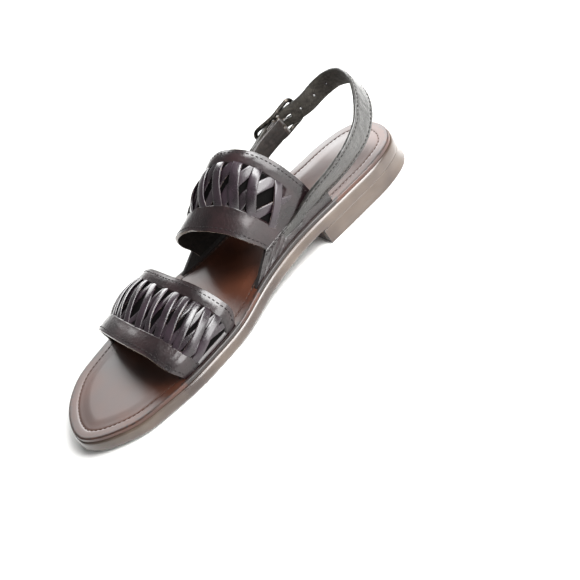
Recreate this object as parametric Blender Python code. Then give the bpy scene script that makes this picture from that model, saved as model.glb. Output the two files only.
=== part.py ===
"""Huarache sandal for the right foot: two laced leather bands and a buckled heel strap on a leather sole.

Metres, +Z up. The toe points to -Y and the inner (medial) side of the foot is +X.
The origin is the middle of the heel's underside, so Z = 0 is the floor.
"""

import math

import bmesh
import bpy
import numpy as np

# Sole
LENGTH = 0.295
HEEL_HALF_WIDTH = 0.0315
WAIST_MEDIAL = 0.0300
WAIST_LATERAL = 0.0362
BALL_MEDIAL = 0.0442
BALL_LATERAL = 0.0568
TOE_OFFSET = 0.0070
OUTSOLE_THICKNESS = 0.0085
INSOLE_THICKNESS = 0.0027
INSOLE_INSET = 0.0013
PAD_HEIGHT = 0.0009
SEAT_LIFT = 0.0107
HEEL_LENGTH = 0.088
HEEL_FLARE = 0.0012
HEEL_REST = 0.038
TOE_SPRING = 0.0022
ARCH_START = 0.280
ARCH_END = 0.645
TOE_START = 0.742
CLEARANCE = 0.0003

# Upper
WALL = 0.0024
LINING = 0.0011
TOE_BORDER = 0.0142
HEEL_BORDER = 0.0094
FOOT_INSET = 0.0070
INSTEP_HEIGHT = 0.0640
FULLNESS = 2.4
OVER_STRIP_RISE = 0.0026
UNDER_STRIP_RISE = 0.0005
STRIP_TUCK = 0.0016
STRIP_REACH = 2
FRONT_STRIPS = 14
FRONT_STRIP_WIDTH = 0.0052
INSTEP_STRIPS = 9
INSTEP_STRIP_WIDTH = 0.0064
STRIP_SLANT = 1.02
WINDOW = (0.03, 0.97)
INSTEP_ENDS = (0.015, 0.985)
QUARTER_WALL = 0.0031
QUARTER_LINING = 0.0005
QUARTER_HEIGHT = 0.0110
SLOT_OUTER = 0.0035
SLOT_INNER = 0.0073

# Heel strap and buckle
STRAP_WIDTH = 0.0168
STRAP_THICKNESS = 0.0022
STRAP_PEAK = 0.0645
CHAPE_THICKNESS = 0.0019
CHAPE_RETURN = 0.010
BUCKLE_PLACE = 0.742
BUCKLE_LENGTH = 0.034
BUCKLE_BAR = 0.0026
BUCKLE_SIDE_CLEARANCE = 0.0006
BUCKLE_RISE = 0.0003
CHAPE_WIDTH = 0.94
BUCKLE_CORNER = 0.0035
PIVOT_BAR = 0.0022
PIVOT_LIFT = 0.0023
PRONG_WIDTH = 0.0016
HOLE = 0.0027
HOLE_PITCH = 0.0125

# Mesh steps
OUTLINE_STATIONS = 40
HEEL_STATIONS = 16

WIDTHS = {
    "heel": HEEL_HALF_WIDTH,
    "waist_medial": WAIST_MEDIAL,
    "waist_lateral": WAIST_LATERAL,
    "ball_medial": BALL_MEDIAL,
    "ball_lateral": BALL_LATERAL,
    "toe": TOE_OFFSET,
}

# Sole outline, from the heel's back round the inner side to the toe and back round the outer side.
# Columns: share of LENGTH, the width it follows, share of that width (+ is the inner side).
OUTLINE = (
    (0.000, "heel", 0.00),
    (0.012, "heel", 0.47),
    (0.044, "heel", 0.80),
    (0.108, "heel", 0.98),
    (0.186, "heel", 1.00),
    (0.288, "heel", 0.99),
    (0.390, "waist_medial", 1.00),
    (0.481, "waist_medial", 1.08),
    (0.583, "ball_medial", 0.91),
    (0.678, "ball_medial", 0.98),
    (0.739, "ball_medial", 1.00),
    (0.814, "ball_medial", 0.96),
    (0.888, "ball_medial", 0.88),
    (0.946, "ball_medial", 0.67),
    (0.985, "ball_medial", 0.42),
    (1.000, "toe", 1.00),
    (0.988, "ball_lateral", -0.18),
    (0.949, "ball_lateral", -0.53),
    (0.888, "ball_lateral", -0.80),
    (0.814, "ball_lateral", -0.92),
    (0.729, "ball_lateral", -0.99),
    (0.644, "ball_lateral", -1.00),
    (0.542, "ball_lateral", -0.86),
    (0.441, "waist_lateral", -1.13),
    (0.339, "waist_lateral", -1.00),
    (0.203, "heel", -1.02),
    (0.108, "heel", -0.98),
    (0.044, "heel", -0.80),
    (0.012, "heel", -0.47),
)

# Rounded side of the outsole. Columns: share of its thickness, inset from the outline.
OUTSOLE_SIDE = (
    (0.00, 0.0016),
    (0.22, 0.0004),
    (0.55, 0.0000),
    (0.84, 0.0004),
    (1.00, 0.0014),
)

# Insole from its lower edge to the raised pad. Columns: inset from the sole outline, share of thickness, pad share.
INSOLE_SIDE = (
    (INSOLE_INSET, 0.00, 0.0),
    (INSOLE_INSET, 0.75, 0.0),
    (INSOLE_INSET + 0.0006, 1.00, 0.0),
    (INSOLE_INSET + 0.0095, 1.00, 0.0),
    (INSOLE_INSET + 0.0115, 1.00, 0.7),
    (INSOLE_INSET + 0.0160, 1.00, 1.0),
)

# Height of the foot's form above the insole. Columns: share of LENGTH, share of INSTEP_HEIGHT.
LAST_HEIGHT = (
    (0.000, 1.00),
    (0.300, 1.00),
    (0.360, 0.98),
    (0.390, 0.935),
    (0.430, 0.825),
    (0.464, 0.735),
    (0.498, 0.650),
    (0.522, 0.610),
    (0.576, 0.555),
    (0.627, 0.525),
    (0.678, 0.490),
    (0.712, 0.455),
    (0.752, 0.420),
    (0.790, 0.400),
    (0.915, 0.340),
)

# Edges of the bands. Columns: share round the foot from inner to outer side, share of LENGTH.
FRONT_BAND_TOE_EDGE = (
    (0.00, 0.759),
    (0.11, 0.777),
    (0.26, 0.784),
    (0.48, 0.794),
    (0.77, 0.787),
    (1.00, 0.774),
)
FRONT_BAND_HEEL_EDGE = (
    (0.00, 0.582),
    (0.14, 0.588),
    (0.30, 0.599),
    (0.50, 0.615),
    (0.73, 0.615),
    (1.00, 0.602),
)
INSTEP_BAND_TOE_EDGE = (
    (0.00, 0.425),
    (0.05, 0.433),
    (0.13, 0.452),
    (0.30, 0.480),
    (0.52, 0.509),
    (0.64, 0.523),
    (0.87, 0.520),
    (0.95, 0.505),
    (1.00, 0.498),
)
INSTEP_BAND_HEEL_EDGE = (
    (0.00, 0.268),
    (0.06, 0.270),
    (0.17, 0.285),
    (0.32, 0.310),
    (0.46, 0.339),
    (0.62, 0.367),
    (0.83, 0.360),
    (0.94, 0.345),
    (1.00, 0.340),
)

# Side pieces that carry the instep band down to the sole.
# Columns: share from toe end to heel end, foot share of LENGTH, top share of LENGTH, top share of QUARTER_HEIGHT.
MEDIAL_QUARTER = (
    (0.00, 0.503, 0.432, 1.00),
    (0.30, 0.432, 0.385, 0.97),
    (0.65, 0.340, 0.315, 1.02),
    (0.85, 0.282, 0.276, 1.25),
    (1.00, 0.240, 0.238, 1.45),
)
LATERAL_QUARTER = (
    (0.00, 0.553, 0.498, 1.00),
    (0.30, 0.485, 0.450, 0.97),
    (0.65, 0.400, 0.385, 1.02),
    (0.85, 0.345, 0.345, 1.25),
    (1.00, 0.305, 0.310, 1.45),
)

# Middle line of the heel strap from the inner quarter round the heel to the outer quarter.
# Columns: share of its run, share of LENGTH, share of HEEL_HALF_WIDTH, share of STRAP_PEAK, degrees the top leans in.
LOOP = (
    (0.000, 0.380, 0.785, 0.426, 0),
    (0.053, 0.332, 0.82, 0.445, -8),
    (0.099, 0.292, 0.86, 0.497, -18),
    (0.138, 0.258, 0.94, 0.557, -24),
    (0.192, 0.210, 1.01, 0.600, -24),
    (0.261, 0.149, 1.04, 0.670, -19),
    (0.325, 0.095, 0.96, 0.755, -6),
    (0.394, 0.047, 0.69, 0.887, 11),
    (0.457, 0.018, 0.28, 0.980, 16),
    (0.505, 0.010, -0.12, 1.000, 17),
    (0.557, 0.021, -0.54, 0.955, 16),
    (0.608, 0.047, -0.85, 0.878, 10),
    (0.665, 0.092, -1.05, 0.800, 6),
    (0.719, 0.139, -1.14, 0.763, 6),
    (0.768, 0.183, -1.17, 0.733, 7),
    (0.821, 0.231, -1.17, 0.701, 8),
    (0.868, 0.271, -1.12, 0.656, 8),
    (0.912, 0.308, -1.05, 0.592, 5),
    (0.953, 0.342, -1.02, 0.527, 2),
    (1.000, 0.383, -1.03, 0.468, 0),
)

# Heel strap along its run. Columns: share of the run, metres outside the middle line, share of STRAP_WIDTH.
HEEL_STRAP = (
    (0.000, 0.0000, 0.34),
    (0.053, 0.0000, 0.56),
    (0.099, 0.0000, 0.84),
    (0.138, 0.0000, 1.00),
    (0.600, 0.0000, 1.00),
    (0.660, 0.0000, 0.97),
    (0.700, 0.0030, 0.94),
    (0.742, 0.0071, 0.94),
    (0.785, 0.0046, 0.94),
    (0.820, 0.0026, 0.94),
    (0.850, 0.0026, 0.90),
    (0.865, 0.0026, 0.66),
    (0.872, 0.0026, 0.36),
)

# Height of the buckle's frame outside the middle line. Columns: share of BUCKLE_LENGTH from its middle, metres.
BUCKLE_CAMBER = (
    (-0.50, 0.0047),
    (-0.25, 0.0036),
    (0.00, 0.0028),
    (0.25, 0.0042),
    (0.50, 0.0062),
)


def spread(table, share, column=1):
    """The table's column at each share, as a smooth curve through its rows."""
    rows = np.array([[float(value) for value in row] for row in table])
    knots, values = rows[:, 0], rows[:, column]
    order = np.argsort(knots)
    knots, values = knots[order], values[order]
    slopes = np.gradient(values, knots)
    place = np.clip(np.searchsorted(knots, share, side="right") - 1, 0, len(knots) - 2)
    span = knots[place + 1] - knots[place]
    t = np.clip((share - knots[place]) / span, 0.0, 1.0)
    return (
        (2 * t**3 - 3 * t**2 + 1) * values[place]
        + (t**3 - 2 * t**2 + t) * span * slopes[place]
        + (3 * t**2 - 2 * t**3) * values[place + 1]
        + (t**3 - t**2) * span * slopes[place + 1]
    )


def closed_curve(points, count=720):
    """A smooth closed curve through the points, with count points on it."""
    after = np.roll(points, -1, axis=0)
    chord = np.linalg.norm(after - points, axis=1)
    before = np.roll(chord, 1)
    tangent = (after - np.roll(points, 1, axis=0)) / (chord + before)[:, None]
    knots = np.concatenate([[0.0], np.cumsum(chord)])
    where = np.linspace(0.0, knots[-1], count, endpoint=False)
    place = np.clip(np.searchsorted(knots, where, side="right") - 1, 0, len(points) - 1)
    t = ((where - knots[place]) / chord[place])[:, None]
    step = chord[place][:, None]
    following = (place + 1) % len(points)
    return (
        (2 * t**3 - 3 * t**2 + 1) * points[place]
        + (t**3 - 2 * t**2 + t) * step * tangent[place]
        + (3 * t**2 - 2 * t**3) * points[following]
        + (t**3 - t**2) * step * tangent[following]
    )


def sole_curve():
    """The sole's outline as (distance from the heel's back, distance across)."""
    rows = [(share * LENGTH, part * WIDTHS[width]) for share, width, part in OUTLINE]
    return closed_curve(np.array(rows))


def inset_sides(inset):
    """The outline moved inwards: (along, across) rows of its inner side and of its outer side, heel to toe."""
    curve = sole_curve()
    along = np.roll(curve, -1, axis=0) - np.roll(curve, 1, axis=0)
    inward = np.stack([-along[:, 1], along[:, 0]], axis=1)
    inward /= np.linalg.norm(inward, axis=1)[:, None]
    curve = curve - inset * inward
    heel, toe = int(curve[:, 0].argmin()), int(curve[:, 0].argmax())
    curve = np.roll(curve, -heel, axis=0)
    toe = (toe - heel) % len(curve)
    medial = curve[: toe + 1]
    lateral = np.concatenate([curve[toe:], curve[:1]])[::-1]
    return medial, lateral


def across_at(sides, along):
    """Distances across of the inner and outer side at each distance along."""
    medial, lateral = sides
    return (
        np.interp(along, medial[:, 0], medial[:, 1]),
        np.interp(along, lateral[:, 0], lateral[:, 1]),
    )


def smooth_step(share):
    share = np.clip(share, 0.0, 1.0)
    return share * share * (3.0 - 2.0 * share)


def tread_height(along):
    """Height of the outsole's underside: flat at the heel and the ball, with an arch and a toe spring."""
    share = np.asarray(along) / LENGTH
    arch = 1.0 - smooth_step((share - ARCH_START) / (ARCH_END - ARCH_START))
    toe = np.clip((share - TOE_START) / (1.0 - TOE_START), 0.0, 1.0)
    return SEAT_LIFT * arch + TOE_SPRING * toe**1.8


def outsole_top(along):
    return tread_height(along) + OUTSOLE_THICKNESS


def insole_bottom(along):
    return outsole_top(along) + CLEARANCE


def insole_top(along):
    return insole_bottom(along) + INSOLE_THICKNESS


def world(along, across, height):
    """Shoe distances as world points."""
    along, across, height = np.broadcast_arrays(along, across, height)
    return np.stack([across, HEEL_REST - along, height], axis=-1)


def outline_ring(inset, heights, end=None, stations=OUTLINE_STATIONS):
    """A ring of points on the inset outline, heel tip first; end cuts it off square at that distance."""
    sides = inset_sides(inset)
    start = sides[0][0, 0]
    finish = sides[0][-1, 0] if end is None else end
    turn = math.pi if end is None else math.pi / 2
    shares = np.linspace(0.0, turn, stations + 1)
    spaced = (1.0 - np.cos(shares)) / (1.0 - math.cos(turn))
    along = start + (finish - start) * spaced
    medial, lateral = across_at(sides, along)
    if end is None:
        ring_along = np.concatenate([along, along[-2:0:-1]])
        across = np.concatenate([medial, lateral[-2:0:-1]])
    else:
        ring_along = np.concatenate([along, along[:0:-1]])
        across = np.concatenate([medial, lateral[:0:-1]])
    return world(ring_along, across, heights(ring_along))


def cap_faces(first, count, upwards):
    """Faces that close a ring by joining its inner side to its outer side."""
    faces = [(first, first + 1, first + count - 1)]
    low, high = 1, count - 1
    while high - low > 2:
        faces.append((first + low, first + low + 1, first + high - 1, first + high))
        low, high = low + 1, high - 1
    if high - low == 2:
        faces.append((first + low, first + low + 1, first + high))
    return faces if upwards else [face[::-1] for face in faces]


def solid_from_rings(name, rings, material):
    """A closed solid through rings of equal length, lowest first."""
    count = len(rings[0])
    points = np.concatenate(rings)
    faces = cap_faces(0, count, False)
    for level in range(len(rings) - 1):
        low, high = level * count, (level + 1) * count
        for k in range(count):
            n = (k + 1) % count
            faces.append((low + k, low + n, high + n, high + k))
    faces += cap_faces((len(rings) - 1) * count, count, True)
    return add_object(name, points, faces, material)


def grid_faces(rows, columns, first, flip):
    faces = []
    for i in range(rows - 1):
        for j in range(columns - 1):
            a = first + i * columns + j
            face = (a, a + 1, a + columns + 1, a + columns)
            faces.append(face[::-1] if flip else face)
    return faces


def shell_faces(rows, columns, first=0):
    """Faces of a closed wall between an outer grid and the inner grid that follows it."""
    size = rows * columns
    faces = grid_faces(rows, columns, first, False) + grid_faces(rows, columns, first + size, True)
    rim = [j for j in range(columns)]
    rim += [i * columns + columns - 1 for i in range(1, rows)]
    rim += [(rows - 1) * columns + j for j in range(columns - 2, -1, -1)]
    rim += [i * columns for i in range(rows - 2, 0, -1)]
    for k, a in enumerate(rim):
        b = rim[(k + 1) % len(rim)]
        faces.append((first + a, first + a + size, first + b + size, first + b))
    return faces


def add_object(name, points, faces, material, hidden=False):
    """A mesh object with its faces pointing out."""
    mesh = bpy.data.meshes.new(name)
    mesh.from_pydata([tuple(point) for point in points], [], faces)
    shape = bmesh.new()
    shape.from_mesh(mesh)
    bmesh.ops.remove_doubles(shape, verts=shape.verts, dist=1e-6)
    bmesh.ops.recalc_face_normals(shape, faces=shape.faces)
    shape.to_mesh(mesh)
    shape.free()
    mesh.shade_smooth()
    mesh.set_sharp_from_angle(angle=math.radians(35.0))
    if material is not None:
        mesh.materials.append(material)
    obj = bpy.data.objects.new(name, mesh)
    bpy.context.scene.collection.objects.link(obj)
    if hidden:
        obj.hide_render = True
        obj.display_type = "WIRE"
    return obj


def combine(target, other, operation):
    """Adds or cuts another closed solid with an exact Boolean."""
    modifier = target.modifiers.new(other.name, "BOOLEAN")
    modifier.operation = operation
    modifier.solver = "EXACT"
    modifier.object = other
    other.hide_render = True
    other.display_type = "WIRE"


def leather(name, colour, roughness):
    material = bpy.data.materials.new(name)
    material.use_nodes = True
    shader = material.node_tree.nodes["Principled BSDF"]
    shader.inputs["Base Color"].default_value = (*colour, 1.0)
    shader.inputs["Roughness"].default_value = roughness
    return material


def metal(name, colour, roughness):
    material = leather(name, colour, roughness)
    material.node_tree.nodes["Principled BSDF"].inputs["Metallic"].default_value = 1.0
    return material


def last_point(along, share, offset):
    """A point offset outwards from the foot's form, at a distance along and a share round it."""
    sides = inset_sides_of_foot()

    def on_form(s, a):
        medial, lateral = across_at(sides, s)
        middle, half = (medial + lateral) / 2, (medial - lateral) / 2
        angle = math.pi * np.clip(a, 0.0, 1.0)
        cosine, sine = np.cos(angle), np.clip(np.sin(angle), 0.0, 1.0)
        across = middle + half * np.sign(cosine) * np.abs(cosine) ** (2 / FULLNESS)
        rise = INSTEP_HEIGHT * spread(LAST_HEIGHT, s / LENGTH) * sine ** (2 / FULLNESS)
        return world(s, across, insole_top(s) + rise)

    along, share = np.broadcast_arrays(np.asarray(along, float), np.asarray(share, float))
    step, turn = 0.0005, 0.004
    inner = np.clip(share, turn, 1.0 - turn)
    forward = on_form(along + step, inner) - on_form(along - step, inner)
    around = on_form(along, inner + turn) - on_form(along, inner - turn)
    normal = np.cross(around, forward)
    normal /= np.linalg.norm(normal, axis=-1)[..., None]
    normal[..., 1] *= np.where((share <= turn) | (share >= 1 - turn), 0.0, 1.0)
    normal[..., 2] *= np.where((share <= turn) | (share >= 1 - turn), 0.0, 1.0)
    normal /= np.linalg.norm(normal, axis=-1)[..., None]
    return on_form(along, share) + normal * np.asarray(offset)[..., None]


FOOT_SIDES = []


def inset_sides_of_foot():
    """The line on which the upper's inner face meets the insole, worked out once."""
    if not FOOT_SIDES:
        FOOT_SIDES.append(inset_sides(FOOT_INSET))
    return FOOT_SIDES[0]


def foot_drop(points):
    """The same points lowered to just above the outsole, where the upper is held under the insole."""
    lowered = points.copy()
    lowered[..., 2] = insole_bottom(HEEL_REST - points[..., 1])
    return lowered


def band_along(edges, share, across_band):
    """Distance along the shoe at a share round the foot and a share from a band's toe edge to its heel edge."""
    toe_edge, heel_edge = edges
    front = spread(toe_edge, share) * LENGTH
    rear = spread(heel_edge, share) * LENGTH
    return front + (rear - front) * across_band


def band_rows(edges):
    """Shares from a band's toe edge to its heel edge at which the toe border ends and the heel border starts."""
    width = (spread(edges[0], 0.5) - spread(edges[1], 0.5)) * LENGTH
    return TOE_BORDER / width, 1.0 - HEEL_BORDER / width


def band_wall(name, edges, ends, material, footed):
    """A band's wall: full thickness at its borders, thinner where the strips are laced over it."""
    front, rear = band_rows(edges)
    step = 0.005
    shares = np.concatenate([np.linspace(*ends, 25), [WINDOW[0], WINDOW[0] + step, WINDOW[1] - step, WINDOW[1]]])
    shares = np.unique(np.round(shares, 4))
    rows = [0.0, 0.5 * front, front - 0.02, front, 0.47, 0.64, rear, rear + 0.02, 0.5 * rear + 0.5, 1.0]
    share, row = np.meshgrid(shares, np.array(rows), indexing="ij")
    laced = (share > WINDOW[0] + 0.5 * step) & (share < WINDOW[1] - 0.5 * step)
    laced &= (row > front - 0.001) & (row < rear + 0.001)
    along = band_along(edges, share, row)
    outer = last_point(along, share, np.where(laced, LINING, WALL))
    inner = last_point(along, share, np.zeros(share.shape))
    if footed:
        outer = np.concatenate([foot_drop(outer[:1]), outer, foot_drop(outer[-1:])])
        inner = np.concatenate([foot_drop(inner[:1]), inner, foot_drop(inner[-1:])])
    count, columns = outer.shape[:2]
    points = np.concatenate([outer.reshape(-1, 3), inner.reshape(-1, 3)])
    return add_object(name, points, shell_faces(count, columns), material)


def tube(rings, closed=False):
    """Points and faces of a solid through equal rings, with flat ends unless it is closed on itself."""
    size, count = len(rings[0]), len(rings)
    faces = []
    for k in range(count if closed else count - 1):
        low, high = k * size, (k + 1) % count * size
        for j in range(size):
            n = (j + 1) % size
            faces.append((low + j, low + n, high + n, high + j))
    if not closed:
        faces.append(tuple(range(size))[::-1])
        faces.append(tuple(range((count - 1) * size, count * size)))
    return np.concatenate(rings), faces


def strip_solids(name, edges, ends, width, rise, bottom):
    """Lacing strips on a band. Each row of ends gives a strip's share round the foot at the toe and heel border."""
    front, rear = band_rows(edges)
    steps = np.linspace(0.0, 1.0, 6)
    profile = np.array([(-0.5, 0.0), (-0.44, 0.75), (-0.16, 1.0), (0.16, 1.0), (0.44, 0.75), (0.5, 0.0)])
    points, faces, first = [], [], 0
    for toe_share, heel_share in ends:
        share = toe_share + (heel_share - toe_share) * steps
        row = (front - 0.05) + (rear - front + 0.10) * steps
        along = band_along(edges, share, row)
        below = last_point(along, share, np.zeros(len(steps)))
        up = (last_point(along, share, np.full(len(steps), WALL)) - below) / WALL
        side = np.cross(np.gradient(below, axis=0), up)
        side /= np.linalg.norm(side, axis=1)[:, None]
        top = WALL - STRIP_TUCK + (STRIP_TUCK + rise) * np.sin(math.pi * steps) ** 0.5
        rings = []
        for k in range(len(steps)):
            height = bottom + (top[k] - bottom) * profile[:, 1]
            rings.append(below[k] + up[k] * height[:, None] + side[k] * (width * profile[:, 0])[:, None])
        strip, strip_faces = tube(rings)
        faces += [tuple(first + corner for corner in face) for face in strip_faces]
        points.append(strip)
        first += len(strip)
    return add_object(name, np.concatenate(points), faces, None, hidden=True)


def lacing(name, edges, count, width):
    """The upper strips, which slant outwards as they go back, and the strips that cross under them."""
    pitch = (WINDOW[1] - WINDOW[0]) / count
    slant = STRIP_SLANT * pitch
    starts = WINDOW[0] + pitch * (np.arange(-1, count) + 0.35)
    over = [(a, a + slant) for a in starts if a > WINDOW[0] and a + slant < WINDOW[1]]
    under = [(a + STRIP_REACH * pitch, a + slant) for a in starts if a + STRIP_REACH * pitch < WINDOW[1]]
    under = [(toe, heel) for toe, heel in under if heel > WINDOW[0]]
    upper = strip_solids(name + "_over_strips", edges, over, width, OVER_STRIP_RISE, 0.4 * LINING)
    lower = strip_solids(name + "_under_strips", edges, under, 0.9 * width, UNDER_STRIP_RISE, 0.5 * LINING)
    return lower, upper


def quarter(name, table, side):
    """The side piece that holds the instep band: a wall from under the insole to its own top line."""
    ends = np.linspace(0.0, 1.0, 15)
    foot = spread(table, ends, 1) * LENGTH
    top = spread(table, ends, 2) * LENGTH
    height = spread(table, ends, 3) * QUARTER_HEIGHT
    levels = np.array([0.0, 0.34, 0.68, 1.0])
    along = foot[None, :] + (top - foot)[None, :] * levels[:, None]
    rise = height[None, :] * levels[:, None]
    ratio = rise / (INSTEP_HEIGHT * spread(LAST_HEIGHT, along / LENGTH))
    share = np.arcsin(np.clip(ratio, 0.0, 1.0) ** (FULLNESS / 2)) / math.pi
    share = share if side > 0 else 1.0 - share
    outer = last_point(along, share, np.full(along.shape, QUARTER_WALL))
    inner = last_point(along, share, np.full(along.shape, QUARTER_LINING))
    outer = np.concatenate([foot_drop(outer[:1]), outer])
    inner = np.concatenate([foot_drop(inner[:1]), inner])
    count, columns = outer.shape[:2]
    points = np.concatenate([outer.reshape(-1, 3), inner.reshape(-1, 3)])
    return add_object(name, points, shell_faces(count, columns), None, hidden=True)


def loop_frame(share):
    """Middle line of the heel strap at each share of its run, with its along, outward and upward directions."""
    share = np.atleast_1d(np.asarray(share, float))

    def middle(u):
        along = spread(LOOP, u, 1) * LENGTH
        across = spread(LOOP, u, 2) * HEEL_HALF_WIDTH
        return world(along, across, spread(LOOP, u, 3) * STRAP_PEAK)

    centre = middle(share)
    run = middle(np.minimum(share + 0.004, 1.0)) - middle(np.maximum(share - 0.004, 0.0))
    run /= np.linalg.norm(run, axis=1)[:, None]
    level = np.array([0.0, 0.0, 1.0]) - run * run[:, 2:3]
    level /= np.linalg.norm(level, axis=1)[:, None]
    outward = np.cross(run, level)
    lean = np.radians(spread(LOOP, share, 4))[:, None]
    up = level * np.cos(lean) - outward * np.sin(lean)
    out = outward * np.cos(lean) + level * np.sin(lean)
    return centre, run, out, up


def loop_run():
    """Length of the heel strap's middle line."""
    centre = loop_frame(np.linspace(0.0, 1.0, 200))[0]
    return float(np.linalg.norm(np.diff(centre, axis=0), axis=1).sum())


def strap_solid(name, shares, offsets, widths, thickness):
    """A strap with eased edges that follows the heel strap's middle line at a distance outside it."""
    centre, _, out, up = loop_frame(shares)
    ease = 0.22
    profile = np.array(
        [(-0.5, -ease), (-0.46, -0.5), (0.46, -0.5), (0.5, -ease), (0.5, ease), (0.46, 0.5), (-0.46, 0.5), (-0.5, ease)]
    )
    rings = []
    for k in range(len(shares)):
        across = up[k] * (widths[k] * profile[:, 0])[:, None]
        rings.append(centre[k] + across + out[k] * (offsets[k] + thickness * profile[:, 1])[:, None])
    points, faces = tube(rings)
    return add_object(name, points, faces, None, hidden=True)


def rod(name, start, finish, radius, sides=12, material=None, hidden=True):
    """A straight round bar between two points."""
    axis = (finish - start) / np.linalg.norm(finish - start)
    first = np.cross(axis, np.array([0.31, 0.87, 0.38]))
    first /= np.linalg.norm(first)
    second = np.cross(axis, first)
    angle = np.arange(sides) * 2 * math.pi / sides
    ring = radius * (np.cos(angle)[:, None] * first + np.sin(angle)[:, None] * second)
    points, faces = tube([start + ring, finish + ring])
    return add_object(name, points, faces, material, hidden=hidden)


def clear_scene():
    for obj in list(bpy.data.objects):
        bpy.data.objects.remove(obj, do_unlink=True)


def build_sole(materials):
    """Outsole, insole and heel, each with its own rounded side."""
    rings = [
        outline_ring(inset, lambda along, share=share: tread_height(along) + share * OUTSOLE_THICKNESS)
        for share, inset in OUTSOLE_SIDE
    ]
    solid_from_rings("outsole", rings, materials["edge"])
    rings = [
        outline_ring(
            inset,
            lambda along, share=share, pad=pad: insole_bottom(along) + share * INSOLE_THICKNESS + pad * PAD_HEIGHT,
        )
        for inset, share, pad in INSOLE_SIDE
    ]
    insole = solid_from_rings("insole", rings, materials["insole"])
    rows = ((0.00, 0.0008 - HEEL_FLARE), (0.08, -HEEL_FLARE), (0.50, 0.0002), (1.00, 0.0014))
    rings = [
        outline_ring(
            inset,
            lambda along, share=share: share * (tread_height(along) - CLEARANCE),
            end=HEEL_LENGTH,
            stations=HEEL_STATIONS,
        )
        for share, inset in rows
    ]
    solid_from_rings("heel", rings, materials["edge"])
    return insole


def slot_cutter(name, start, finish, side):
    """A cutter for the slot in the insole through which an upper's foot goes down, with clearance round it."""
    along = np.linspace(start * LENGTH - CLEARANCE, finish * LENGTH + CLEARANCE, 15)
    near = across_at(inset_sides(SLOT_OUTER), along)[0 if side > 0 else 1]
    far = across_at(inset_sides(SLOT_INNER), along)[0 if side > 0 else 1]
    low = insole_bottom(along) - 0.001
    high = insole_top(along) + 0.002
    outer = np.stack([world(along, near, low), world(along, near, high)])
    inner = np.stack([world(along, far, low), world(along, far, high)])
    points = np.concatenate([outer.reshape(-1, 3), inner.reshape(-1, 3)])
    return add_object(name, points, shell_faces(2, len(along)), None, hidden=True)


def build_heel_strap(body):
    """Joins the heel strap and the buckle's strap to the instep piece and cuts their holes."""
    run = loop_run()
    shares = np.unique(np.concatenate([np.linspace(0.0, 0.872, 38), [0.742, 0.850, 0.865]]))
    offsets, widths = spread(HEEL_STRAP, shares, 1), spread(HEEL_STRAP, shares, 2) * STRAP_WIDTH
    strap = strap_solid("heel_strap", shares, offsets, widths, STRAP_THICKNESS)
    crossing = BUCKLE_PLACE - 0.0057 / run
    for k, step in enumerate((-3, -2, -1, 1)):
        place = np.array([crossing + step * HOLE_PITCH / run])
        centre, _, out, _ = loop_frame(place)
        middle = centre[0] + out[0] * spread(HEEL_STRAP, place, 1)[0]
        combine(strap, rod(f"strap_hole_{k}", middle - 0.004 * out[0], middle + 0.004 * out[0], HOLE / 2), "DIFFERENCE")
    slot = PRONG_WIDTH / 2 + CLEARANCE
    reach = 0.0048 / run
    combine(strap, strap_slot("prong_hole", crossing - reach, crossing + reach, slot, 0.0, 0.011), "DIFFERENCE")
    wide = CHAPE_WIDTH * STRAP_WIDTH
    shares = np.linspace(BUCKLE_PLACE, 1.0, 12)
    chape = strap_solid("buckle_strap", shares, np.zeros(12), np.full(12, wide), CHAPE_THICKNESS)
    shares = np.linspace(BUCKLE_PLACE, BUCKLE_PLACE + CHAPE_RETURN / run, 4)
    fold = strap_solid("buckle_strap_return", shares, np.full(4, 0.0017), np.full(4, wide), CHAPE_THICKNESS)
    centre, _, out, up = loop_frame([BUCKLE_PLACE])
    axis = centre[0] + PIVOT_LIFT * out[0]
    half = 0.5 * wide * up[0]
    bore = PIVOT_BAR / 2 + CLEARANCE
    roll = rod("buckle_strap_roll", axis - half, axis + half, bore + CHAPE_THICKNESS, sides=20)
    combine(chape, fold, "UNION")
    combine(chape, roll, "UNION")
    combine(chape, rod("pivot_bore", axis - 2 * half, axis + 2 * half, bore, sides=16), "DIFFERENCE")
    ahead, behind = BUCKLE_PLACE - 0.012 / run, BUCKLE_PLACE + 0.0042 / run
    combine(chape, strap_slot("prong_slot", ahead, behind, slot, -0.006, 0.0058), "DIFFERENCE")
    combine(body, strap, "UNION")
    combine(body, chape, "UNION")


def strap_slot(name, start, finish, half, low, high):
    """A cutter along the strap's middle, from one distance outside the middle line to another."""
    rings = []
    for share in np.linspace(start, finish, 3):
        centre, _, out, up = loop_frame([share])
        corners = ((-1, low), (1, low), (1, high), (-1, high))
        rings.append(np.array([centre[0] + side * half * up[0] + lift * out[0] for side, lift in corners]))
    points, faces = tube(rings)
    return add_object(name, points, faces, None, hidden=True)


def bent_tube(name, middles, normals, radius, sides, closed, material, flat=1.0):
    """A round bar along the middle points; each ring stands on its normal and the crosswise direction."""
    middles, normals = np.array(middles), np.array(normals)
    if closed:
        ahead = np.roll(middles, -1, axis=0) - np.roll(middles, 1, axis=0)
    else:
        ahead = np.gradient(middles, axis=0)
    ahead /= np.linalg.norm(ahead, axis=1)[:, None]
    across = np.cross(ahead, normals)
    across /= np.linalg.norm(across, axis=1)[:, None]
    upright = np.cross(across, ahead)
    angle = (np.arange(sides) + 0.5) * 2 * math.pi / sides
    rings = []
    for k in range(len(middles)):
        ring = np.cos(angle)[:, None] * across[k] + flat * np.sin(angle)[:, None] * upright[k]
        rings.append(middles[k] + radius[k] * ring)
    points, faces = tube(rings, closed)
    return add_object(name, points, faces, material)


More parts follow.
